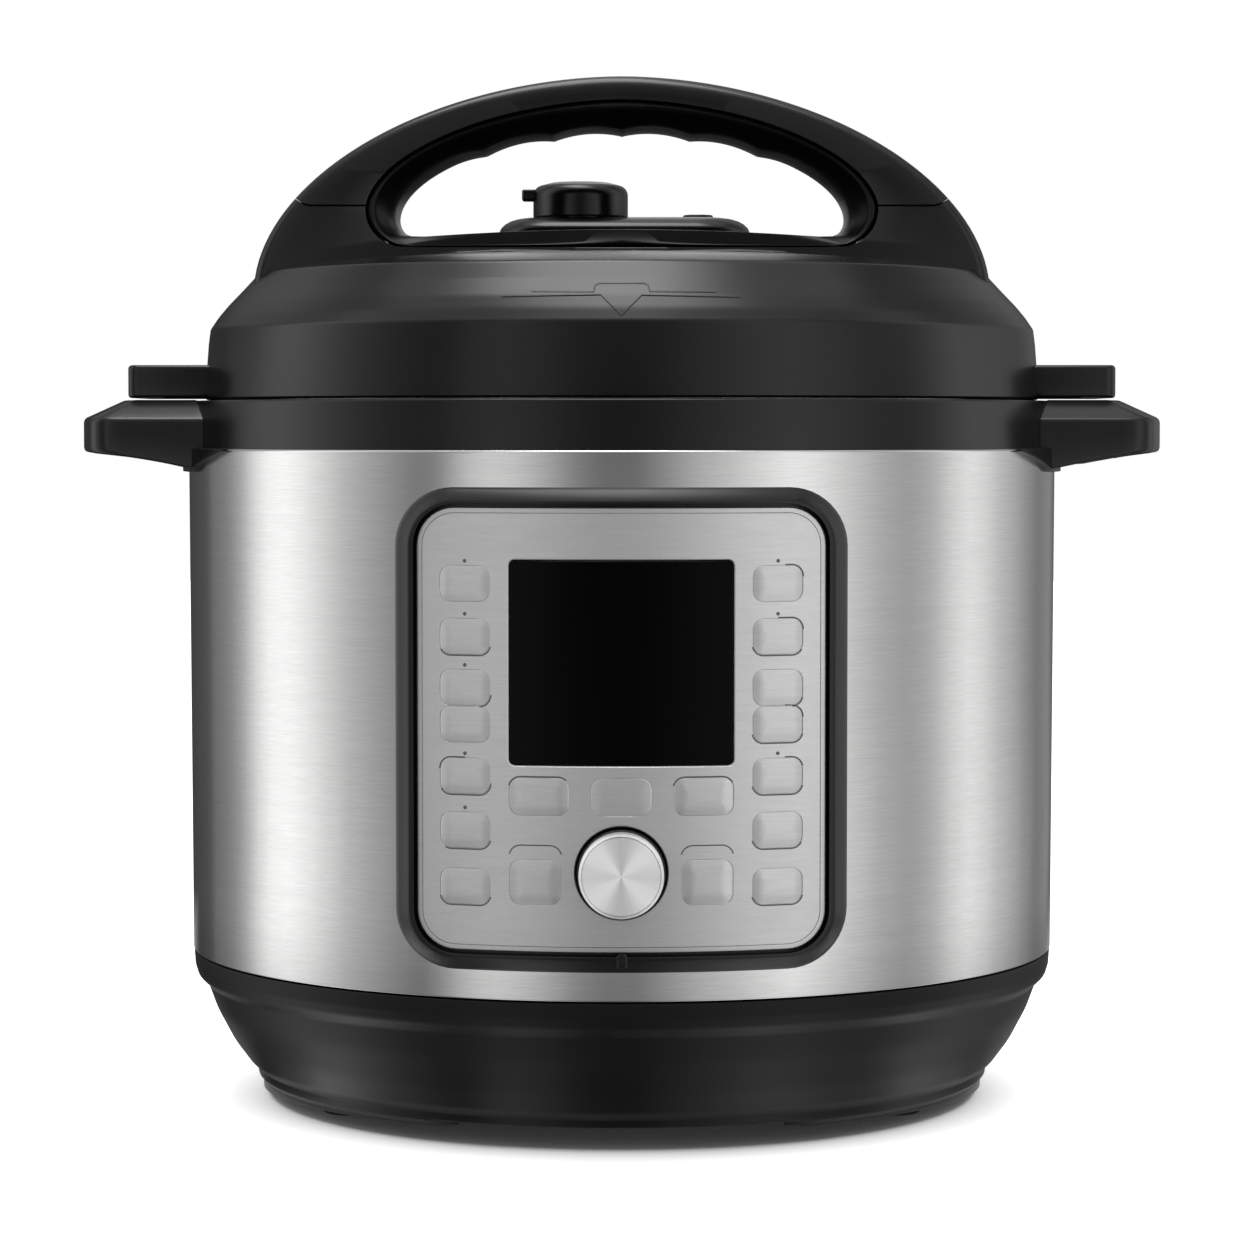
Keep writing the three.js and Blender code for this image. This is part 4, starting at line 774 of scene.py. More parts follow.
liner_low, liner_high = span("lid_liner")
LUG_RIM = liner_high.x
liner = turned("liner_sheet", rounded([
    (0, liner_high.z - 1.5), (110.8, liner_high.z - 1.5, 3), (116.8, liner_high.z - 7.5, 3),
    (116.8, liner_low.z, 0.4), (118.3, liner_low.z, 0.4), (118.3, liner_high.z - 6, 3),
    (112.3, liner_high.z, 3), (0, liner_high.z),
]), sides=160)
liner_lugs = lugs("liner_lug", rounded([
    (117.8, liner_low.z), (LUG_RIM, liner_low.z, 0.6), (LUG_RIM, liner_low.z + 2.6, 0.8),
    (117.8, liner_low.z + 2.6),
]), 6, 30, 24)

valve_low, valve_high = span("steam_valve")
pipe_low, pipe_high = span("valve_pipe")
float_low, float_high = span("float_pin")
VALVE_X = (pipe_low.x + pipe_high.x) / 2
FLOAT_X = (float_low.x + float_high.x) / 2
VALVES_Y = (pipe_low.y + pipe_high.y) / 2
PIPE_BORE, FLOAT_BORE, BOLT_BORE = 4.8, 2.5, 3.3


def drill(name, radius, low, high, x=0, y=0):
    """A rod that cuts a round hole."""
    return turned(name, [(0, low), (radius, low), (radius, high), (0, high)], 32, centre=(x, y))


carve(
    liner,
    drill("pipe_hole", PIPE_BORE, 180, 260, VALVE_X, VALVES_Y),
    drill("float_hole", FLOAT_BORE, 180, 260, FLOAT_X, VALVES_Y),
    drill("bolt_hole", BOLT_BORE, 180, 260),
)
dress(joined("lid_liner_skin", liner, *liner_lugs), inner_steel, "lid", "lid_liner")

seal_low, seal_high = span("sealing_ring")
SEAL = seal_high.x
spun("sealing_ring", silicone, "seal", 160, [
    (SEAL - 12.6, seal_low.z, 0.9), (SEAL, seal_low.z, 2.2), (SEAL, seal_high.z, 2.2),
    (SEAL - 12.6, seal_high.z, 0.9), (SEAL - 12.6, seal_high.z - 3, 1.0),
    (SEAL - 3.5, seal_high.z - 3, 1.5), (SEAL - 3.5, seal_low.z + 3, 1.5),
    (SEAL - 12.6, seal_low.z + 3, 1.0),
])

rack_low, rack_high = span("ring_rack")
spun("ring_rack", inner_steel, "lid", 160, [
    (rack_high.x - 1.4, rack_low.z, 0.6), (rack_high.x, rack_low.z, 0.6),
    (rack_high.x, rack_high.z, 0.3), (rack_high.x - 1.4, rack_high.z, 0.3),
])

# ---- Lid cover ------------------------------------------------------------------------------
# The black dome over the liner, moulded with an upright side, a sloped shoulder and a shallow
# crown. Two fins stand out over the body handles, and a platform behind carries the valves.

cover_low, cover_high = span("lid_cover")
LID_FOOT = cover_low.z
CROWN = 264.3
FIN_TIP = cover_high.x

dome_outline = rounded([
    (0, CROWN), (20, CROWN - 0.1), (46, CROWN - 0.9), (75, CROWN - 2.0), (91, CROWN - 3.1),
    (104, CROWN - 4.5), (113.9, CROWN - 6.4, 2.4), (118.5, 252.9, 22), (123.6, 247.6, 26),
    (126.6, 244.0, 22), (129.1, 240.3, 2.4), (129.7, 235.6), (130.3, 227.8),
    (130.9, LID_FOOT + 0.6, 0.5), (130.4, LID_FOOT, 0.3), (128.0, LID_FOOT, 0.3), (126.6, 240),
    (119.6, 247.6, 3), (113.8, CROWN - 10.4, 2), (91, CROWN - 5.9), (46, CROWN - 3.6),
    (0, CROWN - 2.6),
])
dome = turned("dome", dome_outline, sides=224, sharp=45)
dome_side = dome_outline[:1 + max(range(len(dome_outline)), key=lambda n: dome_outline[n][0])]


def dome_height(radius):
    """Height of the dome's outer side at a distance from the axis."""
    for (r0, z0), (r1, z1) in zip(dome_side, dome_side[1:]):
        if r0 <= radius <= r1:
            return z0 + (z1 - z0) * (radius - r0) / max(r1 - r0, 1e-6)
    return dome_side[-1][1]


def dome_radius(level):
    """The dome's radius at a height on its shoulder."""
    low, high = 106.0, 129.4
    for _ in range(24):
        middle = (low + high) / 2
        low, high = (middle, high) if dome_height(middle) > level else (low, middle)
    return low


SLANT = 0.7  # how far a rib's height goes forward and up on the sloped shoulder


def rib(name, spots, profile):
    """A hair-fine raised line on the dome's front, through spots of (x, height)."""
    line = []
    for start, end in zip(spots, spots[1:]):
        steps = max(int(math.dist(start, end) / 2.5), 1)
        line += [Vector(start).lerp(Vector(end), n / steps) for n in range(steps)]
    line.append(Vector(spots[-1]))
    sections = []
    for n, here in enumerate(line):
        before, after = line[max(n - 1, 0)], line[min(n + 1, len(line) - 1)]
        run = (after - here).normalized() + (here - before).normalized()
        across = Vector((-run.y, run.x)).normalized()
        section = []
        for share, raised in profile:
            spot = here + across * share
            radius = dome_radius(spot.y)
            depth = math.sqrt(radius ** 2 - spot.x ** 2)
            section.append((spot.x, -depth - raised * SLANT, spot.y + raised * SLANT))
        sections.append(section)
    return lofted(name, sections)


ribs = [
    rib("lower_rib", [
        (-34.2, 247.3), (-5.8, 247.7), (0.0, 241.7), (5.7, 247.6), (33.8, 247.1),
    ], ((-0.5, -0.3), (-0.18, 0.28), (0.15, 0.28), (0.3, -0.3))),
    rib("upper_rib", [
        (-25.6, 248.7), (-7.8, 248.5), (-7.4, 250.4), (-6.4, 251.0), (6.6, 251.0), (7.6, 250.4), (8.0, 248.6),
        (27, 248.5),
    ], ((-0.26, -0.3), (-0.16, 0.14), (0.0, 0.16), (0.6, -0.3))),
]

fins = []
for side in (-1, 1):
    fins.append(slab(
        f"fin_{side}", (side * (FIN_TIP + 124) / 2, 0), (FIN_TIP - 124, 52), 3.2,
        LID_FOOT + 0.5, LID_FOOT + 10.7, edge=1.0, top_edge=1.2,
    ))

platform_top = CROWN + 14.2
platform = lofted("platform", [
    [(x + 0.8, VALVES_Y + y, level) for x, y in plate_outline(83.4, 44, 18, inset, steps=10)]
    for inset, level in (
        (-1.2, 256), (-0.6, CROWN - 2.2), (0.0, CROWN + 0.2), (0.3, CROWN + 4), (0.6, platform_top - 4.4),
        (1.2, platform_top - 3.2), (2.4, platform_top - 2.1), (4.2, platform_top - 1.1),
        (6.4, platform_top - 0.4), (9, platform_top),
    )
])
carve(
    platform,
    drill("pipe_hole", PIPE_BORE, 240, 290, VALVE_X, VALVES_Y),
    turned("float_hole", rounded([
        (0, 240), (FLOAT_BORE, 240), (FLOAT_BORE, 272), (5.1, 272), (5.1, platform_top - 0.5, 0.4),
        (6.2, platform_top + 0.5), (0, 290),
    ]), 32, centre=(FLOAT_X, VALVES_Y)),
)
carve(
    dome,
    drill("pipe_hole", PIPE_BORE, 240, 290, VALVE_X, VALVES_Y),
    drill("float_hole", FLOAT_BORE, 240, 290, FLOAT_X, VALVES_Y),
)
boss = turned("boss", [(BOLT_BORE, 233.3), (8, 233.3), (8, CROWN - 2), (BOLT_BORE, CROWN - 2)], 48)
cover = joined("lid_cover_skin", dome, *ribs, *fins, platform, boss)
dress(cover, black_plastic, "lid", "lid_cover")

# ---- Lid handle -----------------------------------------------------------------------------
# An arch in two black shells: a base that stands on the dome and a cap over the crown, parted
# by a fine line. Inside it a satin grip ring lines the opening, waved for the fingers.

dark_plastic = moulded("dark_plastic", (0.0016, 0.0016, 0.0017), 0.3, grain=0.08, Specular_IOR_Level=0.35)

CREST = CROWN - 6.5
PARTING = CREST + 20.2
HEART = 276.0


def superellipse(half_width, level, rise, power, angle):
    """A point of an arch over a level, at an angle from 0 at the right to pi at the left."""
    c, s = math.cos(angle), math.sin(angle)
    return (half_width * math.copysign(abs(c) ** (2 / power), c), level + rise * abs(s) ** (2 / power))


def arch_outline():
    upper = [superellipse(113, CREST - 5.8, 66.4, 1.9, math.pi * n / 180) for n in range(181)]
    return upper + [(-113, 244), (113, 244)]


def ring_outline(half_width, level, rise, power, sill, crown, corner, waves=0.0):
    """A ring: an arch above, round lower corners and a sill that may be crowned."""
    points = []
    for n in range(241):
        x, z = superellipse(half_width, level, rise, power, math.pi * n / 240)
        if waves and abs(x) < 53.75:
            z -= waves * (1 - abs(math.sin(math.pi * x / 21.5)) ** 0.8)
        points.append((x, z))
    lower = []
    for n in range(1, 13):
        angle = math.pi / 2 * n / 12
        x = half_width - corner + corner * math.cos(angle)
        lower.append((x, sill + (level - sill) * (1 - math.sin(angle))))
    flat = half_width - corner
    sill_points = [(flat * (n / 16 - 1), sill + crown * (1 - (n / 16 - 1) ** 2)) for n in range(1, 32)]
    return points + [(-x, z) for x, z in lower] + sill_points + lower[::-1]


def along_ray(outline, angle):
    """Where a ray from the handle's heart meets a closed outline."""
    ray = Vector((math.cos(angle), math.sin(angle)))
    heart = Vector((0, HEART))
    best = None
    for start, end in zip(outline, outline[1:] + outline[:1]):
        a, b = Vector(start) - heart, Vector(end) - heart
        edge = b - a
        bottom = ray.x * edge.y - ray.y * edge.x
        if abs(bottom) < 1e-9:
            continue
        distance = (a.x * edge.y - a.y * edge.x) / bottom
        share = (a.x * ray.y - a.y * ray.x) / bottom
        if distance > 0 and -1e-6 <= share <= 1 + 1e-6 and (best is None or distance > best):
            best = distance
    return heart + ray * best


def arch_depth(z):
    """Half the arch's depth at a height: it thins from the crest to the crown."""
    return 35 - 11 * (z - CREST) / (66.4 - 5.8)


foot_angle = math.atan2(244 - HEART, 113)
ray_angles = sorted(
    [2 * math.pi * n / 288 for n in range(288)] + [foot_angle % (2 * math.pi), math.pi - foot_angle]
)
outer_arch = arch_outline()
groove_edge = ring_outline(78.7, CREST + 19.2, 33.8, 1.8, CREST + 7.4, 0, 12)

ROUND = 3.6
arch_sections = []
for angle in ray_angles:
    outer = along_ray(outer_arch, angle)
    inner = along_ray(groove_edge, angle)
    ray = (outer - inner).normalized()
    width = (outer - inner).length
    resting = outer.y < 250
    rim = min(ROUND, width * 0.45)
    profile = [(inner, 0.6), (inner + ray * 0.12, 0.18), (inner + ray * 0.4, 0.0)]
    if resting:
        low, high = 0.0, width
        for _ in range(20):
            middle = (low + high) / 2
            spot = inner + ray * middle
            if spot.y > dome_height(math.hypot(spot.x, arch_depth(spot.y))):
                low = middle
            else:
                high = middle
        share = min(max(low - 1.5, 0) / 5.2, 1)
        foot = inner + ray * low
        flare = ((4.6, 0.0), (3.0, -0.3), (1.8, -1.0), (0.8, -2.0), (0, -2.9))
        profile += [(foot - ray * inset * share, out * share) for inset, out in flare]
        profile += [(outer, -3)]
        rim = -3
    else:
        profile += [(outer - ray * rim, 0.0)]
        for a in (0.35, 0.7, 1.05, 1.35):
            profile.append((outer - ray * rim * (1 - math.sin(a)), rim * (1 - math.cos(a))))
        profile += [(outer, rim)]
    front, across = [], []
    for spot, back in profile:
        front.append((spot.x, -(arch_depth(spot.y) - back), spot.y))
    for share in (0.6, 0.2, -0.2, -0.6):
        across.append((outer.x, -(arch_depth(outer.y) - rim) * share, outer.y))
    rear = [(x, -y, z) for x, y, z in reversed(front)]
    section = front + across + rear
    if resting:
        section = [
            (x, y, max(z, min(dome_height(math.hypot(x, y)) - 0.4, inner.y - 0.5))) for x, y, z in section
        ]
    arch_sections.append(section)
arch = lofted("arch", arch_sections, closed=True, sharp=40)


def parting_outline(play):
    """The parting line's stepped section, from the left of the arch to its right, with its play."""
    steps = [(-130, 2.5), (-101.5, 2.5), (-100.6, 2.3), (-99.2, 1.4), (-97.6, 0.45), (-96, 0.0), (-70, 0.0)]
    line = [(x, PARTING + rise) for x, rise in steps]
    line += [(-x, z) for x, z in reversed(line)]
    return [(x, z + play) for x, z in line] + [(x, z - play) for x, z in reversed(line)]


face_at_parting = arch_depth(PARTING)
parting_cut = lofted("parting_cut", [
    [(x, y, z) for x, z in parting_outline(play)]
    for y, play in (
        (-face_at_parting - 2, 1.9), (-face_at_parting - 0.1, 0.4), (-face_at_parting + 0.4, 0.07),
        (face_at_parting - 0.4, 0.07), (face_at_parting + 0.1, 0.4), (face_at_parting + 2, 1.9),
    )
])
carve(arch, parting_cut)


def islands(piece, names, sort_by):
    """Parts a mesh into its separate bodies, named in the order of a measure of each."""
    whole = bmesh.new()
    whole.from_mesh(piece.data)
    left = set(whole.verts)
    groups = []
    while left:
        reached = [left.pop()]
        group = set(reached)
        while reached:
            for edge in reached.pop().link_edges:
                for vertex in edge.verts:
                    if vertex in left:
                        left.discard(vertex)
                        group.add(vertex)
                        reached.append(vertex)
        groups.append(group)
    groups = sorted(groups, key=len)[-len(names):]
    groups.sort(key=lambda group: sort_by([vertex.co for vertex in group]))
    made = []
    for name, group in zip(names, groups):
        body = bmesh.new()
        twins = {vertex: body.verts.new(vertex.co) for vertex in group}
        for face in whole.faces:
            if face.verts[0] in group:
                body.faces.new([twins[vertex] for vertex in face.verts])
        made.append(meshed(name, body, sharp=40))
    whole.free()
    bpy.data.objects.remove(piece)
    return made


handle_base, handle_cap = islands(
    arch, ["handle_base_skin", "handle_cap_skin"], lambda points: max(point.z for point in points),
)
dress(handle_base, black_plastic, "lid", "handle_base")
dress(handle_cap, black_plastic, "lid", "handle_cap")

grip_outer = ring_outline(78.4, CREST + 19.2, 33.5, 1.8, CREST + 7.7, 0, 12)


def eye(flare):
    return ring_outline(
        70.6 + flare, CREST + 17.7, 28 + 0.9 * flare, 1.9, CREST + 10.8 - 0.1 * flare, 2.6, 9,
        waves=max(1.3 - flare * 0.6, 0.0),
    )


eye_flares = [0.0, 0.3, 1.0, 2.2, 3.9, 5.9]
eyes = {flare: eye(flare) for flare in eye_flares}
heart = Vector((0, HEART))
grip_sections = []
for angle in [2 * math.pi * n / 360 for n in range(360)]:
    outer = along_ray(grip_outer, angle)
    throat = along_ray(eyes[0.0], angle)
    width = (outer - throat).length
    face = arch_depth(outer.y) - 0.8
    section = []
    for inset, back in ((0, 2.4), (0.05, 1.0), (0.45, 0.3), (1.2, -0.2), (1.9, 0.0), (2.5, 0.6)):
        spot = outer.lerp(throat, inset / width)
        section.append((spot.x, -(face - back), spot.y))
    for flare, share in zip(reversed(eye_flares), (1.0, 0.86, 0.66, 0.45, 0.25, 0.0)):
        spot = along_ray(eyes[flare], angle)
        if (outer - spot).length < 2.7 or (spot - heart).length > (outer - heart).length:
            spot = outer.lerp(throat, min(2.9, width - 0.3) / width)
        section.append((spot.x, -(14 + (face - 1.2 - 14) * share), spot.y))
    section += [(x, -y, z) for x, y, z in reversed(section)]
    grip_sections.append(section)
handle_grip = lofted("handle_grip_skin", grip_sections, closed=True, sharp=50)
grip_satin = moulded(
    "grip_satin", (0.003, 0.003, 0.0031), 0.33, edge_lift=0.006, grain=0.08, Specular_IOR_Level=0.18,
)
dress(handle_grip, grip_satin, "lid", "handle_grip", slot="dark_plastic")

# ---- Steam release and float valve ----------------------------------------------------------
# The black knob drops loosely over the pipe and turns or lifts to let steam out. Beside it the
# float pin rises when there is pressure. A steel shield under the liner keeps food out.

knob_top = valve_high.z + 1.4
knob = turned("steam_knob", rounded([
    (0, pipe_high.z + 0.3), (4.8, pipe_high.z + 0.3), (4.8, valve_low.z), (12.4, valve_low.z, 0.5),
    (12.4, platform_top + 0.35), (15.6, platform_top + 0.35, 0.4), (15.6, knob_top - 2.0, 3.4),
    (9.6, knob_top - 0.35, 5), (0, knob_top),
]), sides=96, centre=(VALVE_X, VALVES_Y))
tab = slab("valve_tab", (VALVE_X - 16.9, VALVES_Y), (4.8, 6), 1.2, knob_top - 6.4, knob_top - 2.6, edge=0.7)
dress(joined("steam_valve_skin", knob, tab), black_plastic, "valve", "steam_valve")

spun("valve_pipe", inner_steel, "lid", 48, [
    (2, pipe_low.z, 0.3), (4.5, pipe_low.z, 0.4), (4.5, 233.3), (8, 233.3, 0.4), (8, 237.3, 0.4),
    (4.5, 237.3), (4.5, pipe_high.z, 0.6), (2, pipe_high.z, 0.3),
], centre=(VALVE_X, VALVES_Y))

float_top = platform_top + 1.25
spun("float_pin", dark_plastic, "float", 48, [
    (0, float_low.z), (2.2, float_low.z, 0.5), (2.2, float_top - 5.2),
    (4.95, float_top - 5.2, 0.3), (4.95, float_top, 0.5), (2.6, float_top, 0.3),
    (2.2, float_top - 0.3), (0, float_top - 0.3),
], centre=(FLOAT_X, VALVES_Y))

cuff_low, cuff_high = span("float_seal")
spun("float_seal", silicone, "float", 48, [
    (2.5, cuff_low.z, 0.4), (6, cuff_low.z, 1.0), (6, cuff_low.z + 1.8, 0.4),
    (5, cuff_low.z + 2.5, 0.4), (6, cuff_high.z - 1.2, 0.4), (6, cuff_high.z, 0.5),
    (2.5, cuff_high.z, 0.4),
], centre=(FLOAT_X, VALVES_Y))

shield_low, shield_high = span("anti_block_shield")
shield = turned("shield_skin", rounded([
    (0, shield_low.z), (16, shield_low.z, 2.6), (16, shield_high.z, 0.3), (15, shield_high.z, 0.3),
    (15, shield_low.z + 1, 1.8), (0, shield_low.z + 1),
]), sides=96, centre=(VALVE_X, VALVES_Y))
windows = []
for n in range(6):
    window = slab("shield_window", (0, shield_low.z + 6.6), (5.2, 5.2), 1.2, 4, 30, along="y")
    middle = Matrix.Translation((VALVE_X * MM, VALVES_Y * MM, 0))
    window.matrix_world = middle @ Matrix.Rotation(n * math.pi / 3, 4, "Z")
    windows.append(window)
carve(shield, *windows)
dress(shield, inner_steel, "lid", "anti_block_shield")

bolt_low, bolt_high = span("lid_bolt")
spun("lid_bolt", inner_steel, "lid", 48, [
    (0, bolt_low.z + 1.4), (2.2, bolt_low.z + 1.4), (2.8, bolt_low.z, 0.3), (8, bolt_low.z, 1.2),
    (8, bolt_low.z + 3.5, 0.3), (3, bolt_low.z + 3.5), (3, bolt_high.z, 0.5), (0, bolt_high.z),
])

# ---- Control panel: frame and faceplate -----------------------------------------------------
# A black frame stands on the drum round a satin plate that is bent to the drum's curve. Each
# key, the display and the dial look through a hole of their own in the plate.

PLATE_FACE = 138.5
PLATE_BACK = 137.0
FRAME_FACE = 139.6


def bent_plate(name, outlines, back, step=2.5):
    """A sheet cut flat and then bent round the drum. Its outlines are the edge and the holes, as
    (centre, size, corner, rim), where a rim lists (inset, radius) from the face to the side."""
    vertices, faces = [], []
    fronts, backs = [], []
    for n, (centre, size, corner, rim) in enumerate(outlines):
        loops = []
        for inset, radius in [*rim, (0, back)]:
            plan = plate_outline(*size, corner, inset if n == 0 else -inset, steps=5 if corner < 5 else 12)
            loops.append([len(vertices) + m for m in range(len(plan))])
            vertices += [(centre[0] + u, -radius, centre[1] + v) for u, v in plan]
        count = len(loops[0])
        for upper, lower in zip(loops, loops[1:]):
            for m in range(count):
                after = (m + 1) % count
                faces.append([upper[m], upper[after], lower[after], lower[m]])
        fronts.append(loops[0])
        backs.append(loops[-1])
    for group in (fronts, backs):
        flat = [[Vector((vertices[v][0], vertices[v][2], 0)) for v in loop] for loop in group]
        order = [v for loop in group for v in loop]
        faces += [[order[c] for c in triangle] for triangle in tessellate_polygon(flat)]
    body = bmesh.new()
    made = [body.verts.new(point) for point in vertices]
    for face_corners in faces:
        if len(set(face_corners)) > 2:
            try:
                body.faces.new([made[c] for c in face_corners])
            except ValueError:
                pass
    half = outlines[0][1][0] / 2
    count = int(2 * half / step)
    for n in range(1, count):
        everything = body.verts[:] + body.edges[:] + body.faces[:]
        bmesh.ops.bisect_plane(
            body, geom=everything, dist=1e-5,
            plane_co=(outlines[0][0][0] - half + 2 * half * n / count, 0, 0), plane_no=(1, 0, 0),
        )
    bmesh.ops.recalc_face_normals(body, faces=body.faces)
    for vertex in body.verts:
        radius = -vertex.co.y
        vertex.co.y = -math.sqrt(radius ** 2 - vertex.co.x ** 2)
        vertex.co *= MM
    return meshed(name, body, sharp=14)


SIDE_KEY = (15.1, 10.3)
MIDDLE_KEY = (17.2, 10.8)
START_KEY = (14.8, 12.9)
KEY_CORNER = 3.2
KEY_PLAY = 0.04
keys = {}
for word, side in (("left", -1), ("right", 1)):
    for n, row in enumerate((41.3, 26.3, 11.8, 1.4, -13.3, -28.7, -44.7)):
        keys[f"key_{word}_{n + 1}"] = (side * 44.35, row, SIDE_KEY)
    keys[f"key_start_{word}"] = (side * 24.35, -43, START_KEY)
for n, x in enumerate((-23.3, 0, 23.3)):
    keys[f"key_middle_{n + 1}"] = (x, -18.7, MIDDLE_KEY)

WINDOW = ((0, PANEL_MIDDLE + 19.1), (63.4, 57.8), 1.6)
DIAL_MIDDLE = PANEL_MIDDLE - 40.2
plate_cuts = [
    ((0, PANEL_MIDDLE), (116.6, 125.9), 11, [
        (1.75, PLATE_FACE), (1.5, PLATE_FACE - 0.22), (0.55, PLATE_FACE - 0.2), (0.3, PLATE_FACE - 0.24),
        (0, PLATE_FACE - 0.55),
    ]),
    (WINDOW[0], (63.6, 58.0), 1.7, [(0.42, PLATE_FACE), (0.05, PLATE_FACE - 0.3)]),
    ((0, DIAL_MIDDLE), (26.2, 26.2), 13.1, [(0.35, PLATE_FACE), (0, PLATE_FACE - 0.3)]),
]
for x, row, (width, height) in keys.values():
    size = ((width + KEY_PLAY) * math.cos(math.asin(x / PLATE_FACE)), height + KEY_PLAY)
    rim = [(0.1, PLATE_FACE), (0, PLATE_FACE - 0.08)]
    plate_cuts.append(((x, PANEL_MIDDLE + row), size, KEY_CORNER, rim))

panel_silver = brushed("panel_silver", (0.62, 0.62, 0.618), 0.46, 0.01, 0.03, spread=0.02, along=110.0)
dress(bent_plate("faceplate_skin", plate_cuts, PLATE_BACK), panel_silver, "base", "faceplate")

panel_rim = bent_plate("frame_rim", [
    ((0, PANEL_MIDDLE - 0.15), (129.4, 137.4), 17.0, [
        (4.3, FRAME_FACE), (4.0, FRAME_FACE - 0.05), (3.5, FRAME_FACE - 0.3), (1.9, FRAME_FACE - 1.6),
        (0.9, FRAME_FACE - 2.5), (0.5, FRAME_FACE - 2.95), (0, 135.9),
    ]),
    ((0, PANEL_MIDDLE), (118.4, 127.7), 11.9, [
        (0.2, FRAME_FACE), (0.05, FRAME_FACE - 0.1), (0, FRAME_FACE - 0.4),
    ]),
], 135.7)
panel_floor = bent_plate("frame_floor", [
    ((0, PANEL_MIDDLE), (121, 130.3), 13, [(0.2, 136.7)]),
    ((0, PANEL_MIDDLE), (110.6, 119.9), 8, [(0.2, 136.7)]),
], 132.7)
panel_clip = slab(
    "panel_clip", (0.2, PANEL_MIDDLE - 65.1), (3.3, 4.2), 1.3, -FRAME_FACE - 0.3, -137, along="y", edge=0.6,
)
panel_frame = joined("panel_frame_skin", panel_rim, panel_floor, panel_clip)
dress(panel_frame, dark_plastic, "base", "panel_frame")

# ---- Keys -----------------------------------------------------------------------------------
# Each key is a satin pillow on a stem that reaches its switch on the board behind. Its face
# stands just proud of the plate, and a short travel clicks the switch.


def key_cap(name, x, row, size, swell):
    """A key's cap on the drum's curve: flush with the plate at its edge, with a soft shoulder and
    a face that swells a little."""
    turn = math.asin(x / PLATE_FACE)
    rings = []
    for inset, rise in (
        (0, -1.8), (0, -0.05), (0.06, 0.0), (0.5, 0.06), (1.1, 0.17), (1.8, 0.29), (2.6, 0.38), (3.4, 0.42),
        (4.2, 0.44),
    ):
        radius = PLATE_FACE + (rise * swell if rise > 0 else rise)
        ring = []
        for u, v in plate_outline(*size, KEY_CORNER, inset, steps=6):
            angle = turn + u / PLATE_FACE
            ring.append(swung(radius, angle, PANEL_MIDDLE + row + v))
        rings.append(ring)
    return lofted(name, rings, sharp=60)


PRINT = PLATE_FACE + 0.03


def printed(key, first, last, lift=0.0):
    """A fine printed line along part of a key's outline, between two directions from its centre."""
    x, row, (width, height) = keys[key]
    inner, outer = [
        plate_outline(width, height + lift, KEY_CORNER, -grow, steps=6, spacing=2) for grow in (0.05, 0.42)
    ]
    on_line = []
    for near, far in zip(inner, outer):
        angle = math.degrees(math.atan2(near[1], near[0])) % 360
        if first <= angle <= last or first <= angle + 360 <= last:
            on_line.append((angle if angle >= first else angle + 360, near, far))
    vertices = []
    for _, near, far in sorted(on_line):
        for u, v in (near, far):
            angle = math.asin(x / PLATE_FACE) + u / PLATE_FACE
            level = PANEL_MIDDLE + row + lift / 2 + v
            vertices.append(swung(PRINT, angle, level))
    return shell("line", vertices, [(n, n + 1, n + 3, n + 2) for n in range(0, len(vertices) - 2, 2)])


def printed_dot(x, row):
    """A small printed dot, set a hair deeper than the lines."""
    face, radius = PLATE_FACE + 0.02, 0.55
    vertices = []
    for n in range(12):
        angle = x / PLATE_FACE + radius * math.cos(n * math.pi / 6) / PLATE_FACE
        level = PANEL_MIDDLE + row + radius * math.sin(n * math.pi / 6)
        vertices.append(swung(face, angle, level))
    return shell("dot", vertices, [tuple(range(12))])


marks = [printed("key_" + key, first, last) for key, first, last in (
    ("left_2", 205, 345), ("left_3", 300, 350), ("left_5", 90, 170), ("left_5", 205, 348),
    ("left_6", 215, 345), ("left_7", 200, 345), ("right_1", 10, 80), ("right_2", 12, 95),
    ("right_2", 198, 335), ("right_3", 295, 345), ("right_4", 0, 85), ("right_4", 198, 340),
    ("right_5", 15, 80), ("right_5", 195, 345), ("right_6", 200, 335), ("right_7", 198, 342),
    ("middle_1", 25, 165), ("middle_3", 22, 165),
)]
marks += [printed(key, 38, 142, lift=3.8) for key in ("key_start_left", "key_start_right")]
for key in ("left_1", "left_2", "left_3", "left_5", "left_6", "right_1", "right_2", "right_4", "right_5"):
    x, row, (width, height) = keys["key_" + key]
    marks.append(printed_dot(PLATE_FACE * math.asin(x / PLATE_FACE), row + height / 2 + 1.3))
print_grey = moulded("print_grey", (0.09, 0.09, 0.09), 0.5, edge_lift=0.0, grain=0.02)
dress(joined("panel_marks", *marks), print_grey, "base")

SWITCH_FACE = 119.4
for name, (x, row, size) in keys.items():
    turn = math.asin(x / PLATE_FACE)
    tip = -SWITCH_FACE / math.cos(turn)
    stem = slab(name + "_stem", (0, PANEL_MIDDLE + row), (3, 3), 0.6, -136.8, tip, along="y", edge=0.2)
    stem.data.transform(Matrix.Rotation(turn, 4, "Z"))
    cap = joined(name + "_skin", key_cap(name + "_cap", x, row, size, 1.3 if x else 0.5), stem)
    dress(cap, panel_silver, name + "_body", name)

# ---- Display --------------------------------------------------------------------------------
# A black acrylic window, bonded into the plate over the display module, which stands on the
# control board with the keys' switches.

window_black, nodes, shader = bare("window_black", (0.0006, 0.0006, 0.0008), 0.12, Specular_IOR_Level=0.06)
nodes.put(nodes.between(nodes.noise(30.0, 2.0), 0.3, 0.7, 0.05, 0.1), shader["Roughness"])
window_rim = [(0.3, PLATE_FACE - 0.05), (0, PLATE_FACE - 0.3)]
display = bent_plate("display_window_skin", [(*WINDOW, window_rim)], PLATE_BACK)
dress(display, window_black, "base", "display_window")

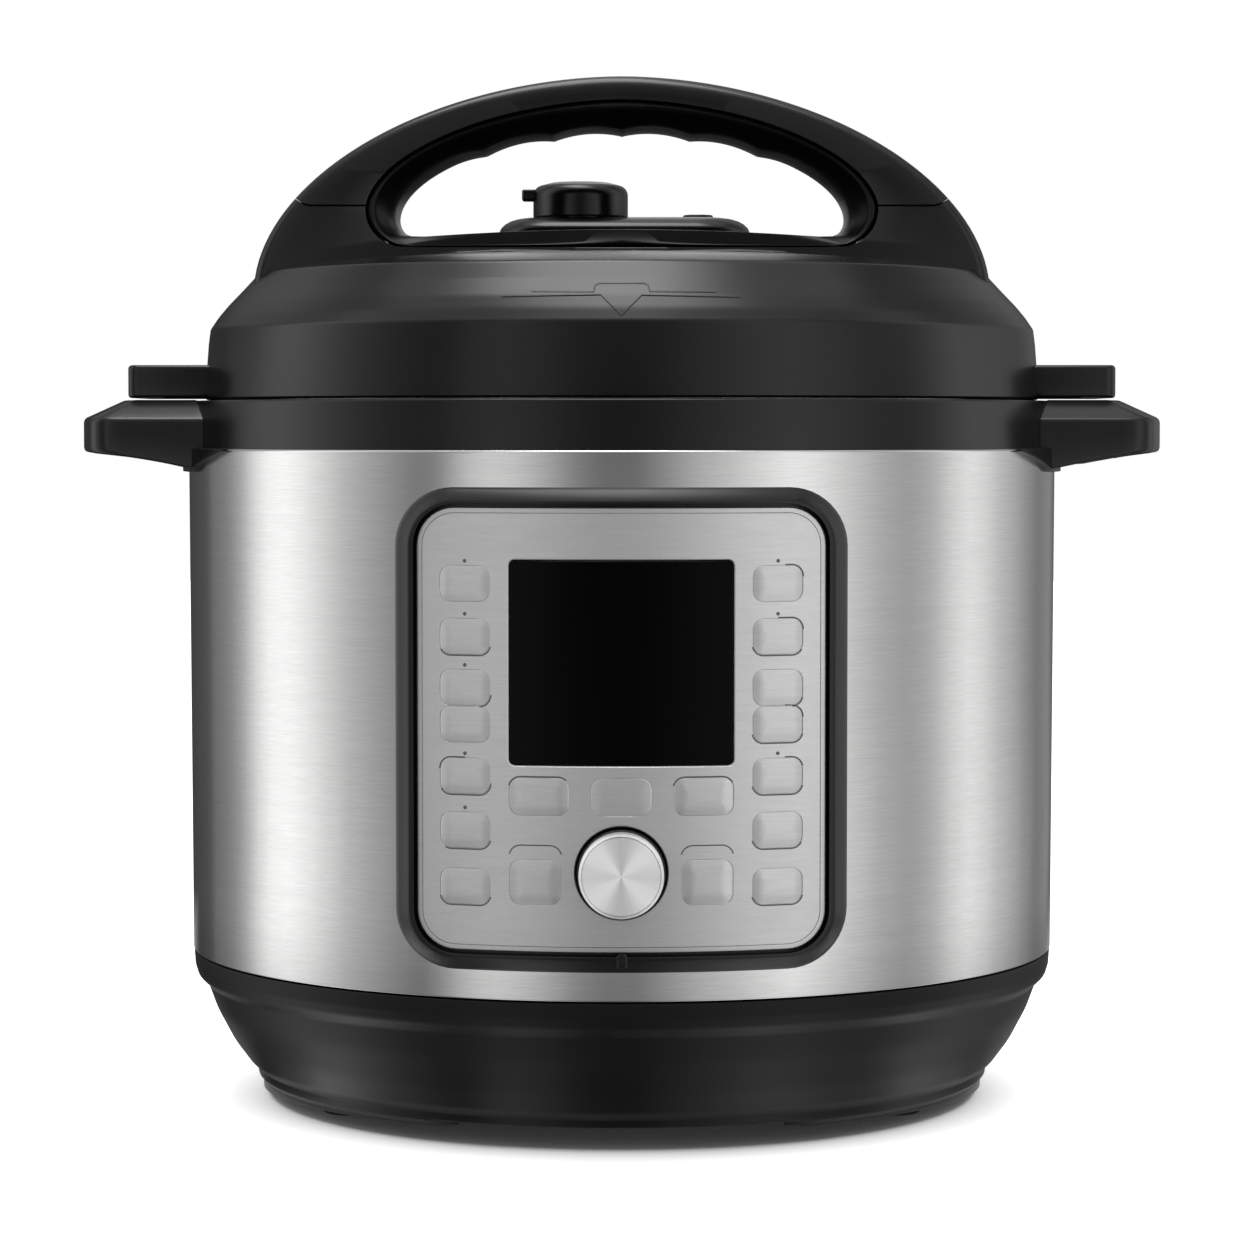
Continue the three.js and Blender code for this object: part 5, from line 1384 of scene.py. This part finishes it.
board_green, nodes, shader = bare("board_green", (0.01, 0.09, 0.035), 0.35)
place = nodes.add("ShaderNodeTexCoord").outputs["Object"]
tracks = nodes.add("ShaderNodeTexVoronoi", Vector=place, Scale=260.0, distance="CHEBYCHEV").outputs[0]
mask = nodes.between(tracks, 0.42, 0.46, 0.0, 1.0)
nodes.put(nodes.two_tones(mask, (0.008, 0.075, 0.03), (0.02, 0.16, 0.06)), shader["Base Color"])
coat(board_green, "control_board", "power_board")
coat(dark_plastic, "display_module", "pressure_switch")

# ---- Dial -----------------------------------------------------------------------------------
# Turned from aluminium, with a face spun in fine rings and a bright cut chamfer. It sits on
# the encoder's shaft, turns without end and is pushed to choose.

DIAL_FACE = 147.5
dial_metal, nodes, shader = bare("dial_metal", (1.0, 1.0, 0.995), 0.52, Metallic=0.2, Anisotropic=0.8)
tangent = nodes.add("ShaderNodeTangent", direction_type="RADIAL", axis="Z")
nodes.put(tangent.outputs[0], shader["Tangent"])
place = nodes.add("ShaderNodeTexCoord").outputs["Object"]
apart = nodes.add("ShaderNodeSeparateXYZ", place).outputs
squares = [nodes.math("MULTIPLY", apart[n], apart[n]) for n in (0, 1)]
radial = nodes.math("SQRT", nodes.math("ADD", *squares))
rings = nodes.add("ShaderNodeTexNoise", Scale=1.0, Detail=3.0, noise_dimensions="1D")
nodes.put(nodes.math("MULTIPLY", radial, 5200.0), rings.inputs["W"])
nodes.put(nodes.between(rings.outputs[0], 0.3, 0.7, 0.48, 0.56), shader["Roughness"])
nodes.put(nodes.bump(rings.outputs[0], 0.06, 0.00003), shader["Normal"])
# Painted sheen: lighter wedges on the diagonals, darker ones at the top and bottom, and fine fan streaks, all
# painted into the base colour in place of the turned face's reflections. Behind the chamfer, the side and
# skirt are coloured near black.
angle = nodes.math("ARCTAN2", apart[1], apart[0])
painted_fan_streaks = nodes.add("ShaderNodeTexNoise", Scale=1.0, Detail=2.0, noise_dimensions="1D")
nodes.put(nodes.math("MULTIPLY", angle, 9.0), painted_fan_streaks.inputs["W"])
painted_sheen_wedges = [
    nodes.math("MULTIPLY", nodes.math("COSINE", nodes.math("MULTIPLY", angle, times)), depth)
    for times, depth in ((4.0, -0.13), (2.0, 0.12))
]
painted_sheen = nodes.math("ADD", nodes.math("ADD", *painted_sheen_wedges), 0.9)
painted_sheen = nodes.math("ADD", painted_sheen, nodes.between(painted_fan_streaks.outputs[0], 0.3, 0.7, -0.02, 0.02))
lit = nodes.math("MULTIPLY", painted_sheen, nodes.between(apart[2], -0.0022, -0.0021, 0.006, 1.0))
tint = nodes.add("ShaderNodeCombineXYZ")
for channel in ("X", "Y", "Z"):
    nodes.put(lit, tint.inputs[channel])
nodes.put(tint.outputs[0], shader["Base Color"])

dial = turned("dial_skin", rounded([
    (0, 0.6), (3.3, 0.6), (3.3, -12.0), (5.3, -12.0), (5.3, 1.5), (11, 1.5), (11, -14),
    (12.5, -14, 0.3), (12.5, -2.6, 0.2), (12.0, -2.2, 0.05), (12.0, 3.2, 0.1), (11.3, 4.0, 0.12),
    (11.0, 3.85, 0.1), (0, 3.85),
]), sides=96)
facing = Matrix.Rotation(math.pi / 2, 4, "X")
dial.matrix_world = Matrix.Translation((0, -(DIAL_FACE - 4.0) * MM, DIAL_MIDDLE * MM)) @ facing
dress(dial, dial_metal, "dial", "dial")
coat(inner_steel, "encoder_body", "encoder_shaft")

# ---- Power inlet ----------------------------------------------------------------------------
# A black socket for a mains lead, clipped into the drum's rear, with three flat steel pins.

INLET = 72.0
flange = slab("inlet_flange", (0, INLET), (44, 34), 4, 136.1, 138, edge=0.2, top_edge=0.9, along="y")
body = slab("inlet_body", (0, INLET), (34, 24), 2, 118, 136.9, edge=0.4, along="y")
inlet = joined("power_inlet_skin", flange, body)
carve(inlet, slab("socket", (0, INLET), (26, 18), 3.2, 122, 150, edge=0.3, along="y"))
dress(inlet, dark_plastic, "base", "power_inlet")
for n, (x, z) in enumerate(((-7, -2), (0, 3), (7, -2))):
    pin = slab(f"inlet_pin_{n + 1}", (x, INLET + z), (2, 5), 0.4, 121, 131, edge=0.3, along="y")
    dress(pin, inner_steel, "base", slot="inner_steel")

# ---- Condensation cup and rail --------------------------------------------------------------
# A clear plastic cup catches the water that runs off the lid. Its flange slides on to a black
# rail at the rear of the drum.

cup_low, cup_high = span("condensation_cup")
rail_low, rail_high = span("cup_rail")
cup_clear, nodes, shader = bare("cup_clear", (0.86, 0.88, 0.89), 0.18, Transmission_Weight=0.85, IOR=1.49)
nodes.put(nodes.between(nodes.noise(60.0, 3.0), 0.3, 0.7, 0.14, 0.26), shader["Roughness"])

cup_middle = (cup_low.y + cup_high.y) / 2
cup_depth = cup_high.y - cup_low.y
cup_loops = []
for margin, inset, level in (
    (0, 1.2, cup_low.z), (0, 0.4, cup_low.z + 0.4), (0, 0, cup_low.z + 1.4),
    (0, 0, cup_high.z - 2.2), (4, 0, cup_high.z - 2.0), (4, 0, cup_high.z - 0.3), (4, 0.3, cup_high.z),
    (0, 1.4, cup_high.z), (0, 1.6, cup_high.z - 0.3), (0, 1.6, cup_low.z + 2.4), (0, 2.6, cup_low.z + 1.6),
):
    plan = plate_outline(48 + 2 * margin, cup_depth, 2.2, inset, steps=5)
    cup_loops.append([(x, cup_middle + y, level) for x, y in plan])
dress(lofted("condensation_cup_skin", cup_loops), cup_clear, "cup", "condensation_cup")

rail_plate = turned("rail_plate", rounded([
    (136.3, rail_low.z, 0.3), (137.6, rail_low.z, 0.5), (137.6, rail_high.z, 0.5),
    (136.3, rail_high.z, 0.3),
]), sides=24, arc=(math.pi - math.asin(28.5 / 137), 2 * math.asin(28.5 / 137)))
arms = []
for side in (-1, 1):
    arms.append(slab(
        f"rail_arm_{side}", (side * 26.75, (134.8 + rail_high.y) / 2), (3.5, rail_high.y - 134.8), 0.8,
        cup_high.z - 6.3, cup_high.z - 2.3, edge=0.5,
    ))
dress(joined("cup_rail_skin", rail_plate, *arms), black_plastic, "base", "cup_rail")
